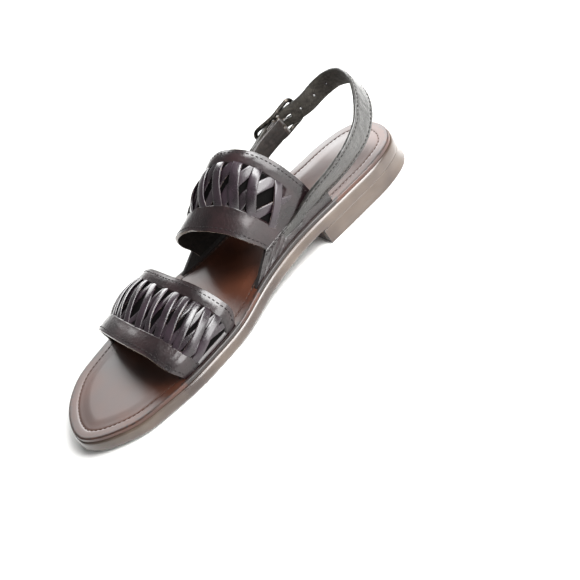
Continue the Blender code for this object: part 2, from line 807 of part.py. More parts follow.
def build_buckle(material):
    """The buckle's frame with its middle bar, and the prong that lies on the heel end of the frame."""
    run = loop_run()
    half = BUCKLE_LENGTH / 2
    wide = CHAPE_WIDTH * STRAP_WIDTH / 2 + BUCKLE_SIDE_CLEARANCE + BUCKLE_BAR / 2
    corner = BUCKLE_CORNER
    track = []
    for turn in range(4):
        sx, sy = ((1, 1), (-1, 1), (-1, -1), (1, -1))[turn]
        for angle in np.linspace(turn, turn + 1, 4) * math.pi / 2:
            x = sx * (half - corner) + corner * math.cos(angle)
            y = sy * (wide - corner) + corner * math.sin(angle)
            track.append((x, y))
        if turn in (0, 2):
            track += [(sx * x, sy * wide) for x in (half * 0.45, 0.0, -half * 0.45)]
    middles, normals = [], []
    for x, y in track:
        centre, _, out, up = loop_frame([BUCKLE_PLACE + x / run])
        lift = spread(BUCKLE_CAMBER, np.array([x / BUCKLE_LENGTH]), 1)[0]
        middles.append(centre[0] + (y + BUCKLE_RISE) * up[0] + lift * out[0])
        normals.append(out[0])
    thick = np.full(len(middles), BUCKLE_BAR / 2)
    frame = bent_tube("buckle_frame", middles, normals, thick, 8, True, material)
    centre, _, out, up = loop_frame([BUCKLE_PLACE])
    axis = centre[0] + PIVOT_LIFT * out[0] + BUCKLE_RISE * up[0]
    combine(frame, rod("pivot_bar", axis - wide * up[0], axis + wide * up[0], PIVOT_BAR / 2, sides=12), "UNION")
    radius = PIVOT_BAR / 2 + CLEARANCE + PRONG_WIDTH / 2
    middles, normals = [], []
    for angle in np.radians(np.linspace(-250, 80, 12)):
        _, along, out, _ = loop_frame([BUCKLE_PLACE])
        spoke = math.sin(angle) * out[0] + math.cos(angle) * along[0]
        middles.append(axis + radius * spoke)
        normals.append(spoke)
    tip_lift = spread(BUCKLE_CAMBER, np.array([-0.5]), 1)[0] + BUCKLE_BAR / 2 + CLEARANCE + PRONG_WIDTH / 2
    for part in (0.25, 0.5, 0.75, 1.0, 1.08):
        centre, _, out, _ = loop_frame([BUCKLE_PLACE - part * half / run])
        lift = PIVOT_LIFT + radius + (tip_lift - PIVOT_LIFT - radius) * part
        middles.append(centre[0] + lift * out[0])
        normals.append(out[0])
    thick = np.full(len(middles), PRONG_WIDTH / 2)
    thick[-1] *= 0.6
    bent_tube("buckle_prong", middles, normals, thick, 8, False, material)


def main():
    clear_scene()
    materials = {
        "edge": leather("burnished_brown_edge", (0.055, 0.030, 0.022), 0.28),
        "insole": leather("glazed_brown_insole", (0.110, 0.035, 0.014), 0.22),
        "upper": leather("glazed_black_brown_leather", (0.028, 0.017, 0.015), 0.32),
        "buckle": metal("dark_bronze", (0.030, 0.026, 0.024), 0.35),
    }
    insole = build_sole(materials)
    front = (FRONT_BAND_TOE_EDGE, FRONT_BAND_HEEL_EDGE)
    instep = (INSTEP_BAND_TOE_EDGE, INSTEP_BAND_HEEL_EDGE)
    front_band = band_wall("front_band", front, (0.0, 1.0), materials["upper"], True)
    for strips in lacing("front", front, FRONT_STRIPS, FRONT_STRIP_WIDTH):
        combine(front_band, strips, "UNION")
    instep_band = band_wall("instep_band_and_heel_strap", instep, INSTEP_ENDS, materials["upper"], False)
    for strips in lacing("instep", instep, INSTEP_STRIPS, INSTEP_STRIP_WIDTH):
        combine(instep_band, strips, "UNION")
    combine(instep_band, quarter("inner_quarter", MEDIAL_QUARTER, 1), "UNION")
    combine(instep_band, quarter("outer_quarter", LATERAL_QUARTER, -1), "UNION")
    build_heel_strap(instep_band)
    build_buckle(materials["buckle"])
    feet = (
        ("front_inner", front[1][0][1], front[0][0][1], 1),
        ("front_outer", front[1][-1][1], front[0][-1][1], -1),
        ("instep_inner", MEDIAL_QUARTER[-1][1], MEDIAL_QUARTER[0][1], 1),
        ("instep_outer", LATERAL_QUARTER[-1][1], LATERAL_QUARTER[0][1], -1),
    )
    for name, start, finish, side in feet:
        combine(insole, slot_cutter(name + "_slot", start, finish, side), "DIFFERENCE")


if __name__ == "__main__":
    main()
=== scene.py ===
import logging
import math
from collections.abc import Callable, Sequence
from dataclasses import dataclass, field, replace
from enum import Enum

import bpy
import numpy as np
from mathutils import Matrix, Vector


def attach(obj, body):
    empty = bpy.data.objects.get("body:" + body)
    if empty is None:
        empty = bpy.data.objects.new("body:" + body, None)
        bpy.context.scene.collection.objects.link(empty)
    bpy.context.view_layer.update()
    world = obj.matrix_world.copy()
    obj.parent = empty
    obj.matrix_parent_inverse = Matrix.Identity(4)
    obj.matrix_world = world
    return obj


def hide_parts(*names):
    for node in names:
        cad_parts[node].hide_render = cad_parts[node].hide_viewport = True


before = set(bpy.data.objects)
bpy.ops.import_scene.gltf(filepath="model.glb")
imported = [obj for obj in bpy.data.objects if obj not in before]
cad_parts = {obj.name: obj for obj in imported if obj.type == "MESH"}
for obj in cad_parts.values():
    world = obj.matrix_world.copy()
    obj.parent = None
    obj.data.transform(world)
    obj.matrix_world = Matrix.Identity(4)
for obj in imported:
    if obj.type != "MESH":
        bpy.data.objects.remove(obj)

# Huarache sandal for the right foot: two laced bands, a buckled heel strap and a leather sole.
# Metres, +Z up, toe towards -Y, inner side of the foot towards +X, origin under the middle of the heel.

log = logging.getLogger("sandal")
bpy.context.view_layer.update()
MM = 0.001
SHARP = math.radians(50.0)  # faces that meet at more than this keep a hard edge

Row = tuple[float, ...]
Table = tuple[Row, ...]
Input = float | tuple[float, ...] | bpy.types.NodeSocket


class Side(Enum):
    """The two sides of the foot."""

    INNER = 1
    OUTER = -1


Foot = tuple[str, float, float, Side]


def hermite(
    t: np.ndarray, span: np.ndarray, values: Sequence[np.ndarray], slopes: Sequence[np.ndarray]
) -> np.ndarray:
    """Cubic from a to b with slopes m and n over span s.

    It is (2t^3 - 3t^2 + 1) a + (t^3 - 2t^2 + t) s m + (3t^2 - 2t^3) b + (t^3 - t^2) s n.

    Args:
        t: Share of the way from the first value to the second.
        span: Distance between the two.
        values: The two values.
        slopes: The curve's slope at each.

    Returns:
        The curve's value at t.
    """
    return (
        (2 * t**3 - 3 * t**2 + 1) * values[0]
        + (t**3 - 2 * t**2 + t) * span * slopes[0]
        + (3 * t**2 - 2 * t**3) * values[1]
        + (t**3 - t**2) * span * slopes[1]
    )


def spread(table: Table, share: np.ndarray | float, column: int = 1) -> np.ndarray:
    """Reads a column of a table at each share along its first column.

    The curve is a cubic Hermite through the rows, with central differences as slopes.

    Args:
        table: Rows whose first column is the share.
        share: Where to read.
        column: Which column to read.

    Returns:
        The column's value at each share.
    """
    rows = np.array(table, float)
    knots, values = rows[:, 0], rows[:, column]
    slopes = np.gradient(values, knots)
    place = np.clip(np.searchsorted(knots, share, side="right") - 1, 0, len(knots) - 2)
    span = knots[place + 1] - knots[place]
    t = np.clip((share - knots[place]) / span, 0.0, 1.0)
    return hermite(t, span, (values[place], values[place + 1]), (slopes[place], slopes[place + 1]))


def ease(share: np.ndarray | float) -> np.ndarray:
    """Smooth step: 3t^2 - 2t^3 with t held between 0 and 1."""
    t = np.clip(share, 0.0, 1.0)
    return t * t * (3.0 - 2.0 * t)


def unit(vectors: np.ndarray) -> np.ndarray:
    """Vectors divided by their own length."""
    return vectors / np.maximum(np.linalg.norm(vectors, axis=-1, keepdims=True), 1e-12)


def sheet_faces(rows: int, columns: int, wrap_rows: bool = False, wrap_columns: bool = False) -> np.ndarray:
    """Quads of a grid: corner (i, j) joins (i, j+1), (i+1, j+1) and (i+1, j).

    Args:
        rows: Points down the grid.
        columns: Points across the grid.
        wrap_rows: Joins the last row to the first.
        wrap_columns: Joins the last column to the first.

    Returns:
        An array of four corners per face.
    """
    down, over = rows if wrap_rows else rows - 1, columns if wrap_columns else columns - 1
    i, j = np.meshgrid(np.arange(down), np.arange(over), indexing="ij")
    below, right = (i + 1) % rows, (j + 1) % columns
    corners = (i * columns + j, i * columns + right, below * columns + right, below * columns + j)
    return np.stack(corners, axis=-1).reshape(-1, 4)


def put(name: str, data: bpy.types.ID) -> bpy.types.Object:
    """Makes an object and puts it in the scene.

    Args:
        name: The object's name.
        data: Its mesh, camera or lamp.

    Returns:
        The object.
    """
    made = bpy.data.objects.new(name, data)
    bpy.context.scene.collection.objects.link(made)
    return made


def make_outward(mesh: bpy.types.Mesh) -> None:
    """Turns a closed mesh's faces outwards when its signed volume is negative.

    Args:
        mesh: The mesh, changed in place.
    """
    mesh.calc_loop_triangles()
    points = np.empty(len(mesh.vertices) * 3, np.float32)
    mesh.vertices.foreach_get("co", points)
    corners = np.empty(len(mesh.loop_triangles) * 3, np.int32)
    mesh.loop_triangles.foreach_get("vertices", corners)
    triangles = points.reshape(-1, 3)[corners.reshape(-1, 3)]
    if np.linalg.det(triangles.astype(float)).sum() < 0:
        mesh.flip_normals()


def cut_away(piece: bpy.types.Object, solid: bpy.types.Object) -> None:
    """Cuts a solid out of a piece.

    Args:
        piece: The piece, which gets the cut mesh.
        solid: The solid, removed afterwards.
    """
    modifier = piece.modifiers.new("cut", "BOOLEAN")
    modifier.operation = "DIFFERENCE"
    modifier.solver = "EXACT"
    modifier.object = solid
    graph = bpy.context.evaluated_depsgraph_get()
    result = bpy.data.meshes.new_from_object(piece.evaluated_get(graph))
    piece.modifiers.clear()
    old = piece.data
    piece.data = result
    result.name = old.name
    bpy.data.meshes.remove(old)
    bpy.data.objects.remove(solid)


@dataclass
class Piece:
    """Points and faces of one visible piece, gathered before they become a mesh."""

    name: str
    points: list[np.ndarray] = field(default_factory=list)
    faces: list[np.ndarray] = field(default_factory=list)
    rims: list[np.ndarray] = field(default_factory=list)
    insides: list[np.ndarray] = field(default_factory=list)
    size: int = 0

    def add(
        self,
        points: np.ndarray,
        faces: np.ndarray,
        rim: np.ndarray | float = 0.0,
        inside: np.ndarray | float = 0.0,
    ) -> None:
        """Adds one surface.

        Args:
            points: Points, in any shape that ends in 3.
            faces: Corners of triangles or quads, numbered within these points.
            rim: How much each point shows the leather's cut edge, from 0 to 1.
            inside: How much each point shows the unglazed inner face, from 0 to 1.
        """
        flat = points.reshape(-1, 3)
        self.points.append(flat)
        self.faces.append(np.asarray(faces) + self.size)
        for shares, kept in ((rim, self.rims), (inside, self.insides)):
            kept.append(np.broadcast_to(shares, points.shape[:-1]).reshape(-1).astype(np.float32))
        self.size += len(flat)

    def add_tube(
        self,
        rings: np.ndarray,
        rim: np.ndarray | float = 0.0,
        closed: bool = False,
        inside: np.ndarray | float = 0.0,
    ) -> None:
        """Adds a solid whose cross-sections are the rows of rings, closed at both ends unless it joins itself.

        Args:
            rings: Array of (sections, points round a section, 3).
            rim: Cut edge share of each point.
            closed: Joins the last section to the first.
            inside: Unglazed share of each point.
        """
        count, around = rings.shape[:2]
        faces = sheet_faces(count, around, wrap_rows=closed, wrap_columns=True)
        start = self.size
        self.add(rings, faces, rim, inside)
        if closed:
            return
        ends = np.arange(around)
        fans = []
        for first, flip in ((0, True), ((count - 1) * around, False)):
            low, high = ends[: around // 2 - 1], ends[::-1][: around // 2 - 1]
            quads = np.stack([low, low + 1, high - 1, high], axis=1) + first
            quads = quads[(quads[:, 1] != quads[:, 2])]
            fans.append(quads[:, ::-1] if flip else quads)
        self.faces.append(np.concatenate(fans) + start)

    def mesh(self) -> bpy.types.Mesh:
        """Makes a mesh of the points and faces gathered so far.

        Returns:
            The mesh.
        """
        mesh = bpy.data.meshes.new(self.name)
        faces = [tuple(face) for part in self.faces for face in part.tolist()]
        mesh.from_pydata(np.concatenate(self.points).tolist(), [], faces)
        return mesh

    def build(self, material: bpy.types.Material, slot: str, replaces: Sequence[str] = ()) -> bpy.types.Object:
        """Makes the mesh object, dresses it and lets it ride on the sandal.

        Args:
            material: The piece's finish.
            slot: The record's material slot that it belongs to. Not used.
            replaces: CAD nodes that it stands for.

        Returns:
            The new object.
        """
        mesh = self.mesh()
        for title, kept in (("rim", self.rims), ("inside", self.insides)):
            attribute = mesh.attributes.new(title, "FLOAT", "POINT")
            attribute.data.foreach_set("value", np.concatenate(kept))
        mesh.validate()
        mesh.shade_smooth()
        mesh.set_sharp_from_angle(angle=SHARP)
        mesh.materials.append(material)
        piece = put(self.name, mesh)
        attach(piece, "root")
        if replaces:
            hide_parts(*replaces)
        log.info("%s: %d points, %d faces", self.name, self.size, len(mesh.polygons))
        return piece


def cutter(name: str, rings: np.ndarray) -> bpy.types.Object:
    """Makes a bare solid to cut with.

    Args:
        name: Its name.
        rings: Its cross-sections, as Piece.add_tube takes them.

    Returns:
        The solid's object.
    """
    solid = Piece(name)
    solid.add_tube(rings)
    mesh = solid.mesh()
    make_outward(mesh)
    return put(name, mesh)


@dataclass
class SoleForm:
    """Outline and heights of the sole, shared by every piece."""

    length: float = 295 * MM
    heel_half: float = 31.5 * MM
    waist_inner: float = 30.0 * MM
    waist_outer: float = 36.2 * MM
    ball_inner: float = 44.2 * MM
    ball_outer: float = 56.8 * MM
    toe_offset: float = 7.0 * MM
    outsole: float = 8.5 * MM
    insole: float = 2.7 * MM
    gap: float = 0.3 * MM
    seat_lift: float = 10.7 * MM
    heel_rest: float = 38 * MM
    toe_spring: float = 2.2 * MM
    arch: tuple[float, float] = (0.280, 0.645)
    toe_start: float = 0.742
    toe_curl: float = 1.8
    curve_points: int = 720
    outline: tuple[tuple[float, str, float], ...] = (
        (0.000, "heel_half", 0.00),
        (0.012, "heel_half", 0.47),
        (0.044, "heel_half", 0.80),
        (0.108, "heel_half", 0.98),
        (0.186, "heel_half", 1.00),
        (0.288, "heel_half", 0.99),
        (0.390, "waist_inner", 1.00),
        (0.481, "waist_inner", 1.08),
        (0.583, "ball_inner", 0.91),
        (0.678, "ball_inner", 0.98),
        (0.739, "ball_inner", 1.00),
        (0.814, "ball_inner", 0.96),
        (0.888, "ball_inner", 0.88),
        (0.946, "ball_inner", 0.67),
        (0.985, "ball_inner", 0.42),
        (1.000, "toe_offset", 1.00),
        (0.988, "ball_outer", -0.18),
        (0.949, "ball_outer", -0.53),
        (0.888, "ball_outer", -0.80),
        (0.814, "ball_outer", -0.92),
        (0.729, "ball_outer", -0.99),
        (0.644, "ball_outer", -1.00),
        (0.542, "ball_outer", -0.86),
        (0.441, "waist_outer", -1.13),
        (0.339, "waist_outer", -1.00),
        (0.203, "heel_half", -1.02),
        (0.108, "heel_half", -0.98),
        (0.044, "heel_half", -0.80),
        (0.012, "heel_half", -0.47),
    )

    def __post_init__(self) -> None:
        """Works out the closed outline curve once."""
        points = np.array([(a * self.length, part * getattr(self, width)) for a, width, part in self.outline])
        ahead, behind = np.roll(points, -1, axis=0), np.roll(points, 1, axis=0)
        chord = np.linalg.norm(ahead - points, axis=1)
        tangent = (ahead - behind) / (chord + np.roll(chord, 1))[:, None]
        knots = np.concatenate([[0.0], np.cumsum(chord)])
        where = np.linspace(0.0, knots[-1], self.curve_points, endpoint=False)
        place = np.clip(np.searchsorted(knots, where, side="right") - 1, 0, len(points) - 1)
        t = ((where - knots[place]) / chord[place])[:, None]
        step = chord[place][:, None]
        following = (place + 1) % len(points)
        self.curve: np.ndarray = hermite(
            t, step, (points[place], points[following]), (tangent[place], tangent[following])
        )
        self.known: dict[float, tuple[np.ndarray, np.ndarray]] = {}

    def sides(self, inset: float) -> tuple[np.ndarray, np.ndarray]:
        """The outline moved inwards along its normal.

        Args:
            inset: Distance inwards.

        Returns:
            Rows of (along, across) for the inner and the outer side, heel to toe.
        """
        if inset not in self.known:
            along = np.roll(self.curve, -1, axis=0) - np.roll(self.curve, 1, axis=0)
            moved = self.curve - inset * unit(np.stack([-along[:, 1], along[:, 0]], axis=1))
            heel, toe = int(moved[:, 0].argmin()), int(moved[:, 0].argmax())
            moved = np.roll(moved, -heel, axis=0)
            toe = (toe - heel) % len(moved)
            self.known[inset] = (moved[: toe + 1], np.concatenate([moved[toe:], moved[:1]])[::-1])
        return self.known[inset]

    def across(self, inset: float, along: np.ndarray) -> tuple[np.ndarray, np.ndarray]:
        """Distances across of the inner and the outer side at each distance along."""
        inner, outer = self.sides(inset)
        return np.interp(along, inner[:, 0], inner[:, 1]), np.interp(along, outer[:, 0], outer[:, 1])

    def tread(self, along: np.ndarray) -> np.ndarray:
        """Height of the underside: seat height less a smooth step through the arch, and a rising toe.

        Args:
            along: Distances along the shoe.

        Returns:
            The height at each.
        """
        share = np.asarray(along) / self.length
        low, high = self.arch
        toe = np.clip((share - self.toe_start) / (1.0 - self.toe_start), 0.0, 1.0)
        arch = self.seat_lift * (1.0 - ease((share - low) / (high - low)))
        return arch + self.toe_spring * toe**self.toe_curl

    def insole_bottom(self, along: np.ndarray) -> np.ndarray:
        """Height of the insole's underside."""
        return self.tread(along) + self.outsole + self.gap

    def insole_top(self, along: np.ndarray) -> np.ndarray:
        """Height of the insole's upper face."""
        return self.insole_bottom(along) + self.insole

    def world(self, along: np.ndarray, across: np.ndarray, height: np.ndarray) -> np.ndarray:
        """Shoe distances as points: x across, y from the heel rest back to front, z height."""
        along, across, height = np.broadcast_arrays(along, across, height)
        return np.stack([across, self.heel_rest - along, height], axis=-1)

    def ring(
        self, inset: float, height: Callable[[np.ndarray], np.ndarray], stations: int, end: float | None = None
    ) -> np.ndarray:
        """A ring on the inset outline from the heel's tip, its stations on a cosine to round both tips.

        Args:
            inset: Distance inside the outline.
            height: Height of the ring at each distance along.
            stations: Steps on each side.
            end: Distance at which the ring is cut off square, or none for the whole sole.

        Returns:
            Points of the ring.
        """
        inner, _ = self.sides(inset)
        start, finish = inner[0, 0], inner[-1, 0] if end is None else end
        turn = math.pi if end is None else math.pi / 2
        share = (1.0 - np.cos(np.linspace(0.0, turn, stations + 1))) / (1.0 - math.cos(turn))
        along = start + (finish - start) * share
        near, far = self.across(inset, along)
        back = slice(-2, 0, -1) if end is None else slice(None, 0, -1)
        ring_along = np.concatenate([along, along[back]])
        return self.world(ring_along, np.concatenate([near, far[back]]), height(ring_along))


@dataclass
class FootForm:
    """The form that the upper is drawn over: a rounded arch across the foot that lowers towards the toe."""

    sole: SoleForm
    inset: float = 7.0 * MM
    height: float = 64 * MM
    fullness: float = 2.4
    profile: Table = (
        (0.000, 1.00),
        (0.300, 1.00),
        (0.360, 0.98),
        (0.390, 0.935),
        (0.430, 0.825),
        (0.464, 0.735),
        (0.498, 0.650),
        (0.522, 0.610),
        (0.576, 0.555),
        (0.627, 0.525),
        (0.678, 0.490),
        (0.712, 0.455),
        (0.752, 0.420),
        (0.790, 0.400),
        (0.915, 0.340),
    )

    def rise(self, along: np.ndarray) -> np.ndarray:
        """Height of the arch above the insole."""
        return self.height * spread(self.profile, along / self.sole.length)

    def skin(self, along: np.ndarray, share: np.ndarray) -> np.ndarray:
        """Points on the form, where |x / w|^n + |z / h|^n = 1 for half width w, rise h and fullness n.

        Args:
            along: Distances along the shoe.
            share: Shares round the foot, from 0 at the inner foot to 1 at the outer foot.

        Returns:
            The points.
        """
        near, far = self.sole.across(self.inset, along)
        angle = math.pi * np.clip(share, 0.0, 1.0)
        cosine, sine = np.cos(angle), np.clip(np.sin(angle), 0.0, 1.0)
        across = (near + far) / 2 + (near - far) / 2 * np.sign(cosine) * np.abs(cosine) ** (2 / self.fullness)
        rise = self.rise(along) * sine ** (2 / self.fullness)
        return self.sole.world(along, across, self.sole.insole_top(along) + rise)

    def frame(self, along: np.ndarray, share: np.ndarray) -> tuple[np.ndarray, np.ndarray]:
        """Points on the form and the outward direction there.

        Args:
            along: Distances along the shoe.
            share: Shares round the foot, in the same shape.

        Returns:
            The points, and unit vectors that point out of the form.
        """
        step, turn = 0.5 * MM, 0.004
        inner = np.clip(share, turn, 1.0 - turn)
        forward = self.skin(along + step, inner) - self.skin(along - step, inner)
        around = self.skin(along, inner + turn) - self.skin(along, inner - turn)
        normal = unit(np.cross(around, forward))
        at_foot = np.where((share <= turn) | (share >= 1 - turn), 0.0, 1.0)
        normal[..., 1] *= at_foot
        normal[..., 2] *= at_foot
        return self.skin(along, share), unit(normal)

    def offset(self, along: np.ndarray, share: np.ndarray, distance: np.ndarray | float) -> np.ndarray:
        """Points at a distance outside the form.

        Args:
            along: Distances along the shoe.
            share: Shares round the foot.
            distance: How far outside.

        Returns:
            The points.
        """
        along, share, distance = np.broadcast_arrays(np.asarray(along, float), share, distance)
        points, normal = self.frame(along, share)
        return points + normal * distance[..., None]


def add_stitches(piece: Piece, path: np.ndarray, normal: np.ndarray, pitch: float, thick: float) -> None:
    """Lays a row of sunk stitches along a path: flattened capsules, each two thirds of the pitch long.

    Args:
        piece: The piece that takes the stitches.
        path: Points of the seam, close together.
        normal: Outward direction at each point.
        pitch: Distance from one stitch to the next.
        thick: Thread's thickness.
    """
    run = np.concatenate([[0.0], np.cumsum(np.linalg.norm(np.diff(path, axis=0), axis=1))])
    count = int(run[-1] / pitch)
    if count < 1:
        return
    middle = (np.arange(count) + 0.5) * run[-1] / count
    # A capsule's six rings: place along the pitch, then girth and height as shares of the thread's thickness.
    reach = np.array([-0.36, -0.30, -0.12, 0.12, 0.30, 0.36]) * pitch
    girth = np.array([0.15, 0.8, 1.0, 1.0, 0.8, 0.15]) * thick / 2
    sink = np.array([-0.35, -0.02, 0.2, 0.2, -0.02, -0.35]) * thick
    where = middle[:, None] + reach[None, :]
    centre = np.stack([np.interp(where, run, path[:, k]) for k in range(3)], axis=-1)
    up = unit(np.stack([np.interp(where, run, normal[:, k]) for k in range(3)], axis=-1))
    along = unit(np.gradient(centre, axis=1))
    side = unit(np.cross(along, up))
    angle = np.arange(6) * math.pi / 3
    ring = (
        np.cos(angle)[:, None] * side[:, :, None, :] + 0.8 * np.sin(angle)[:, None] * up[:, :, None, :]
    ) * girth[:, None, None]
    points = (centre + sink[:, None] * up)[:, :, None, :] + ring
    quads = sheet_faces(6, 6, wrap_columns=True)
    quads = (quads[None] + (np.arange(count) * 36)[:, None, None]).reshape(-1, 4)
    piece.add(points, quads[:, ::-1])


def linear(colour: str) -> tuple[float, float, float, float]:
    """Turns an sRGB colour into linear light: ((c + 0.055) / 1.055)^2.4, or c / 12.92 where it is very dark.

    Args:
        colour: Hex colour.

    Returns:
        Red, green, blue and full alpha.
    """
    parts = [int(colour[k : k + 2], 16) / 255 for k in (1, 3, 5)]
    light = [c / 12.92 if c <= 0.04045 else ((c + 0.055) / 1.055) ** 2.4 for c in parts]
    return (light[0], light[1], light[2], 1.0)


def per_metre(size_mm: float) -> float:
    """Noise scale that gives spots of about this size in millimetres, on coordinates in metres."""
    return 1000.0 / size_mm


def add_node(
    tree: bpy.types.NodeTree, kind: str, settings: dict[str, str] | None = None, **inputs: Input
) -> bpy.types.Node:
    """Adds a shader node.

    Args:
        tree: The material's node tree.
        kind: The node's type.
        settings: Properties of the node.
        inputs: Values or output sockets for its inputs. An underscore is a space, and _0 the first input.

    Returns:
        The new node.
    """
    node = tree.nodes.new(kind)
    for name, value in (settings or {}).items():
        setattr(node, name, value)
    for name, value in inputs.items():
        socket = node.inputs[int(name[1:])] if name[1:].isdigit() else node.inputs[name.replace("_", " ")]
        if isinstance(value, bpy.types.NodeSocket):
            tree.links.new(value, socket)
        else:
            socket.default_value = value
    return node


def blend(tree: bpy.types.NodeTree, share: Input, first: Input, second: Input) -> bpy.types.NodeSocket:
    """Blends two colours by a share."""
    return add_node(tree, "ShaderNodeMix", {"data_type": "RGBA"}, _0=share, _6=first, _7=second).outputs[2]


def weigh(tree: bpy.types.NodeTree, share: Input, first: Input, second: Input) -> bpy.types.NodeSocket:
    """Blends two numbers by a share."""
    return add_node(tree, "ShaderNodeMix", {"data_type": "FLOAT"}, _0=share, _2=first, _3=second).outputs[0]


def ranged(tree: bpy.types.NodeTree, value: Input, ends: Row, to: Row = (0.0, 1.0)) -> bpy.types.NodeSocket:
    """Carries a number from one range to another."""
    limits = {"From_Min": ends[0], "From_Max": ends[1], "To_Min": to[0], "To_Max": to[1]}
    return add_node(tree, "ShaderNodeMapRange", Value=value, **limits).outputs[0]


def noise(tree: bpy.types.NodeTree, size_mm: float, detail: float, **inputs: Input) -> bpy.types.NodeSocket:
    """Adds noise on the piece's own coordinates.

    Args:
        tree: The material's node tree.
        size_mm: Size of its spots in millimetres.
        detail: How many finer layers it has.
        inputs: Further inputs, as add_node takes them.

    Returns:
        The noise, from 0 to 1.
    """
    place = add_node(tree, "ShaderNodeTexCoord").outputs["Object"]
    inputs = {"Vector": place, "Scale": per_metre(size_mm), "Detail": detail, **inputs}
    return add_node(tree, "ShaderNodeTexNoise", **inputs).outputs["Fac"]


def bump(
    tree: bpy.types.NodeTree, height: Input, depth: float, rise_mm: float, **inputs: Input
) -> bpy.types.NodeSocket:
    """Relief from a height, depth from 0 to 1 of its full rise in millimetres."""
    inputs = {"Height": height, "Strength": depth, "Distance": rise_mm * MM, **inputs}
    return add_node(tree, "ShaderNodeBump", **inputs).outputs[0]


def new_material(name: str) -> tuple[bpy.types.Material, bpy.types.NodeTree]:
    """Makes an empty material.

    Args:
        name: The material's name.

    Returns:
        The material and its node tree.
    """
    material = bpy.data.materials.new(name)
    material.use_nodes = True
    material.node_tree.nodes.clear()
    return material, material.node_tree


def surface(tree: bpy.types.NodeTree, **inputs: Input) -> None:
    """Ends a material with its principled shader."""
    shader = add_node(tree, "ShaderNodeBsdfPrincipled", **inputs)
    add_node(tree, "ShaderNodeOutputMaterial", Surface=shader.outputs[0])


@dataclass(frozen=True)
class GlazedLeather:
    """Calf leather with a glazed, lightly antiqued finish: deep colour, pebble grain and a broad soft gloss.

    To the eye it is nearly black with a brown warmth, paler where it is cut, and dull on its inner face. The
    pebble grain (about 0.4 mm on real calf) and the fine creases (about 0.8 mm) are drawn coarser than real, so
    that they show in a picture of the whole sandal.
    """

    name: str
    deep: str
    worn: str
    edge: str
    flesh: str = "#0f0c0b"
    nap: str = "#211b18"
    roughness: float = 0.32
    unevenness: tuple[float, float] = (-0.06, 0.08)
    inner_roughness: float = 0.78
    specular: float = 0.5
    coat: float = 1.0
    coat_roughness: float = 0.2
    mottle_mm: float = 14.0
    mottle_ends: tuple[float, float] = (0.3, 0.75)
    gloss_ends: tuple[float, float] = (0.3, 0.7)
    cut_ends: tuple[float, float] = (0.45, 0.75)
    raggedness: float = 0.9
    fleck_mm: float = 2.5
    grain_mm: float = 1.3
    grain_rise_mm: float = 0.25
    crease_mm: float = 1.7
    crease_rise_mm: float = 0.5
    grain_depth: float = 0.3
    crease_depth: float = 0.6

    def material(self) -> bpy.types.Material:
        """Makes the finish: mottled colour, pale cut edges, a dull inner face, and grain and creases as relief.

        Returns:
            The material.
        """
        material, tree = new_material(self.name)
        mottle = noise(tree, self.mottle_mm, 2.0, Roughness=0.5)
        fleck = noise(tree, self.fleck_mm, 3.0, Roughness=0.6)
        rim, inside = (
            add_node(tree, "ShaderNodeAttribute", {"attribute_name": title}).outputs["Fac"]
            for title in ("rim", "inside")
        )
        # Flecks make the cut edge ragged: they change its share by up to half the raggedness, up or down.
        half, uneven = -self.raggedness / 2, {"operation": "MULTIPLY_ADD"}
        ragged = add_node(tree, "ShaderNodeMath", uneven, _0=fleck, _1=self.raggedness, _2=half).outputs[0]
        cut = add_node(tree, "ShaderNodeMath", {"operation": "ADD"}, _0=rim, _1=ragged).outputs[0]
        glazed = blend(tree, ranged(tree, mottle, self.mottle_ends), linear(self.deep), linear(self.worn))
        # On the insole the rim share darkens towards its edge colour instead: dark wax, and painted shade beside
        # the upper's feet.
        outer = blend(tree, ranged(tree, cut, self.cut_ends), glazed, linear(self.edge))
        flesh = blend(tree, ranged(tree, fleck, self.gloss_ends), linear(self.flesh), linear(self.nap))
        creases = noise(tree, self.crease_mm, 4.0, Roughness=0.55, Distortion=0.4)
        folded = bump(tree, creases, self.crease_depth, self.crease_rise_mm)
        place = add_node(tree, "ShaderNodeTexCoord").outputs["Object"]
        pebbles = add_node(tree, "ShaderNodeTexVoronoi", Vector=place, Scale=per_metre(self.grain_mm))
        low, high = (self.roughness + step for step in self.unevenness)
        gloss = ranged(tree, mottle, self.gloss_ends, (low, high))
        surface(
            tree,
            Base_Color=blend(tree, inside, outer, flesh),
            Roughness=weigh(tree, inside, gloss, self.inner_roughness),
            Normal=bump(tree, pebbles.outputs["Distance"], self.grain_depth, self.grain_rise_mm, Normal=folded),
            IOR=1.5,
            Specular_IOR_Level=self.specular,
            Coat_Weight=weigh(tree, inside, self.coat, 0.0),
            Coat_Roughness=self.coat_roughness,
        )
        return material


@dataclass(frozen=True)
class WaxedThread:
    """Waxed polyester thread: a dull, slightly fuzzy dark cord that reads as a fine broken line on the gloss.

    Its twist (about 0.3 mm) is drawn at 0.8 mm, coarser than real.
    """

    name: str
    colour: str
    roughness: float = 0.6
    specular: float = 0.3
    twist_mm: float = 0.8
    twist_rise_mm: float = 0.2
    twist_depth: float = 0.3

    def material(self) -> bpy.types.Material:
        """Makes the finish: one dark colour with a twist in the relief.

        Returns:
            The material.
        """
        material, tree = new_material(self.name)
        surface(
            tree,
            Base_Color=linear(self.colour),
            Roughness=self.roughness,
            Specular_IOR_Level=self.specular,
            Normal=bump(tree, noise(tree, self.twist_mm, 2.0), self.twist_depth, self.twist_rise_mm),
        )
        return material


@dataclass(frozen=True)
class PaintedShadeBacking(WaxedThread):
    """Near-black sheet behind the lacing, painted shade: it takes nearly all light, so that the gaps between the
    strips look dark and deep.
    """

    roughness: float = 0.9
    specular: float = 0.08


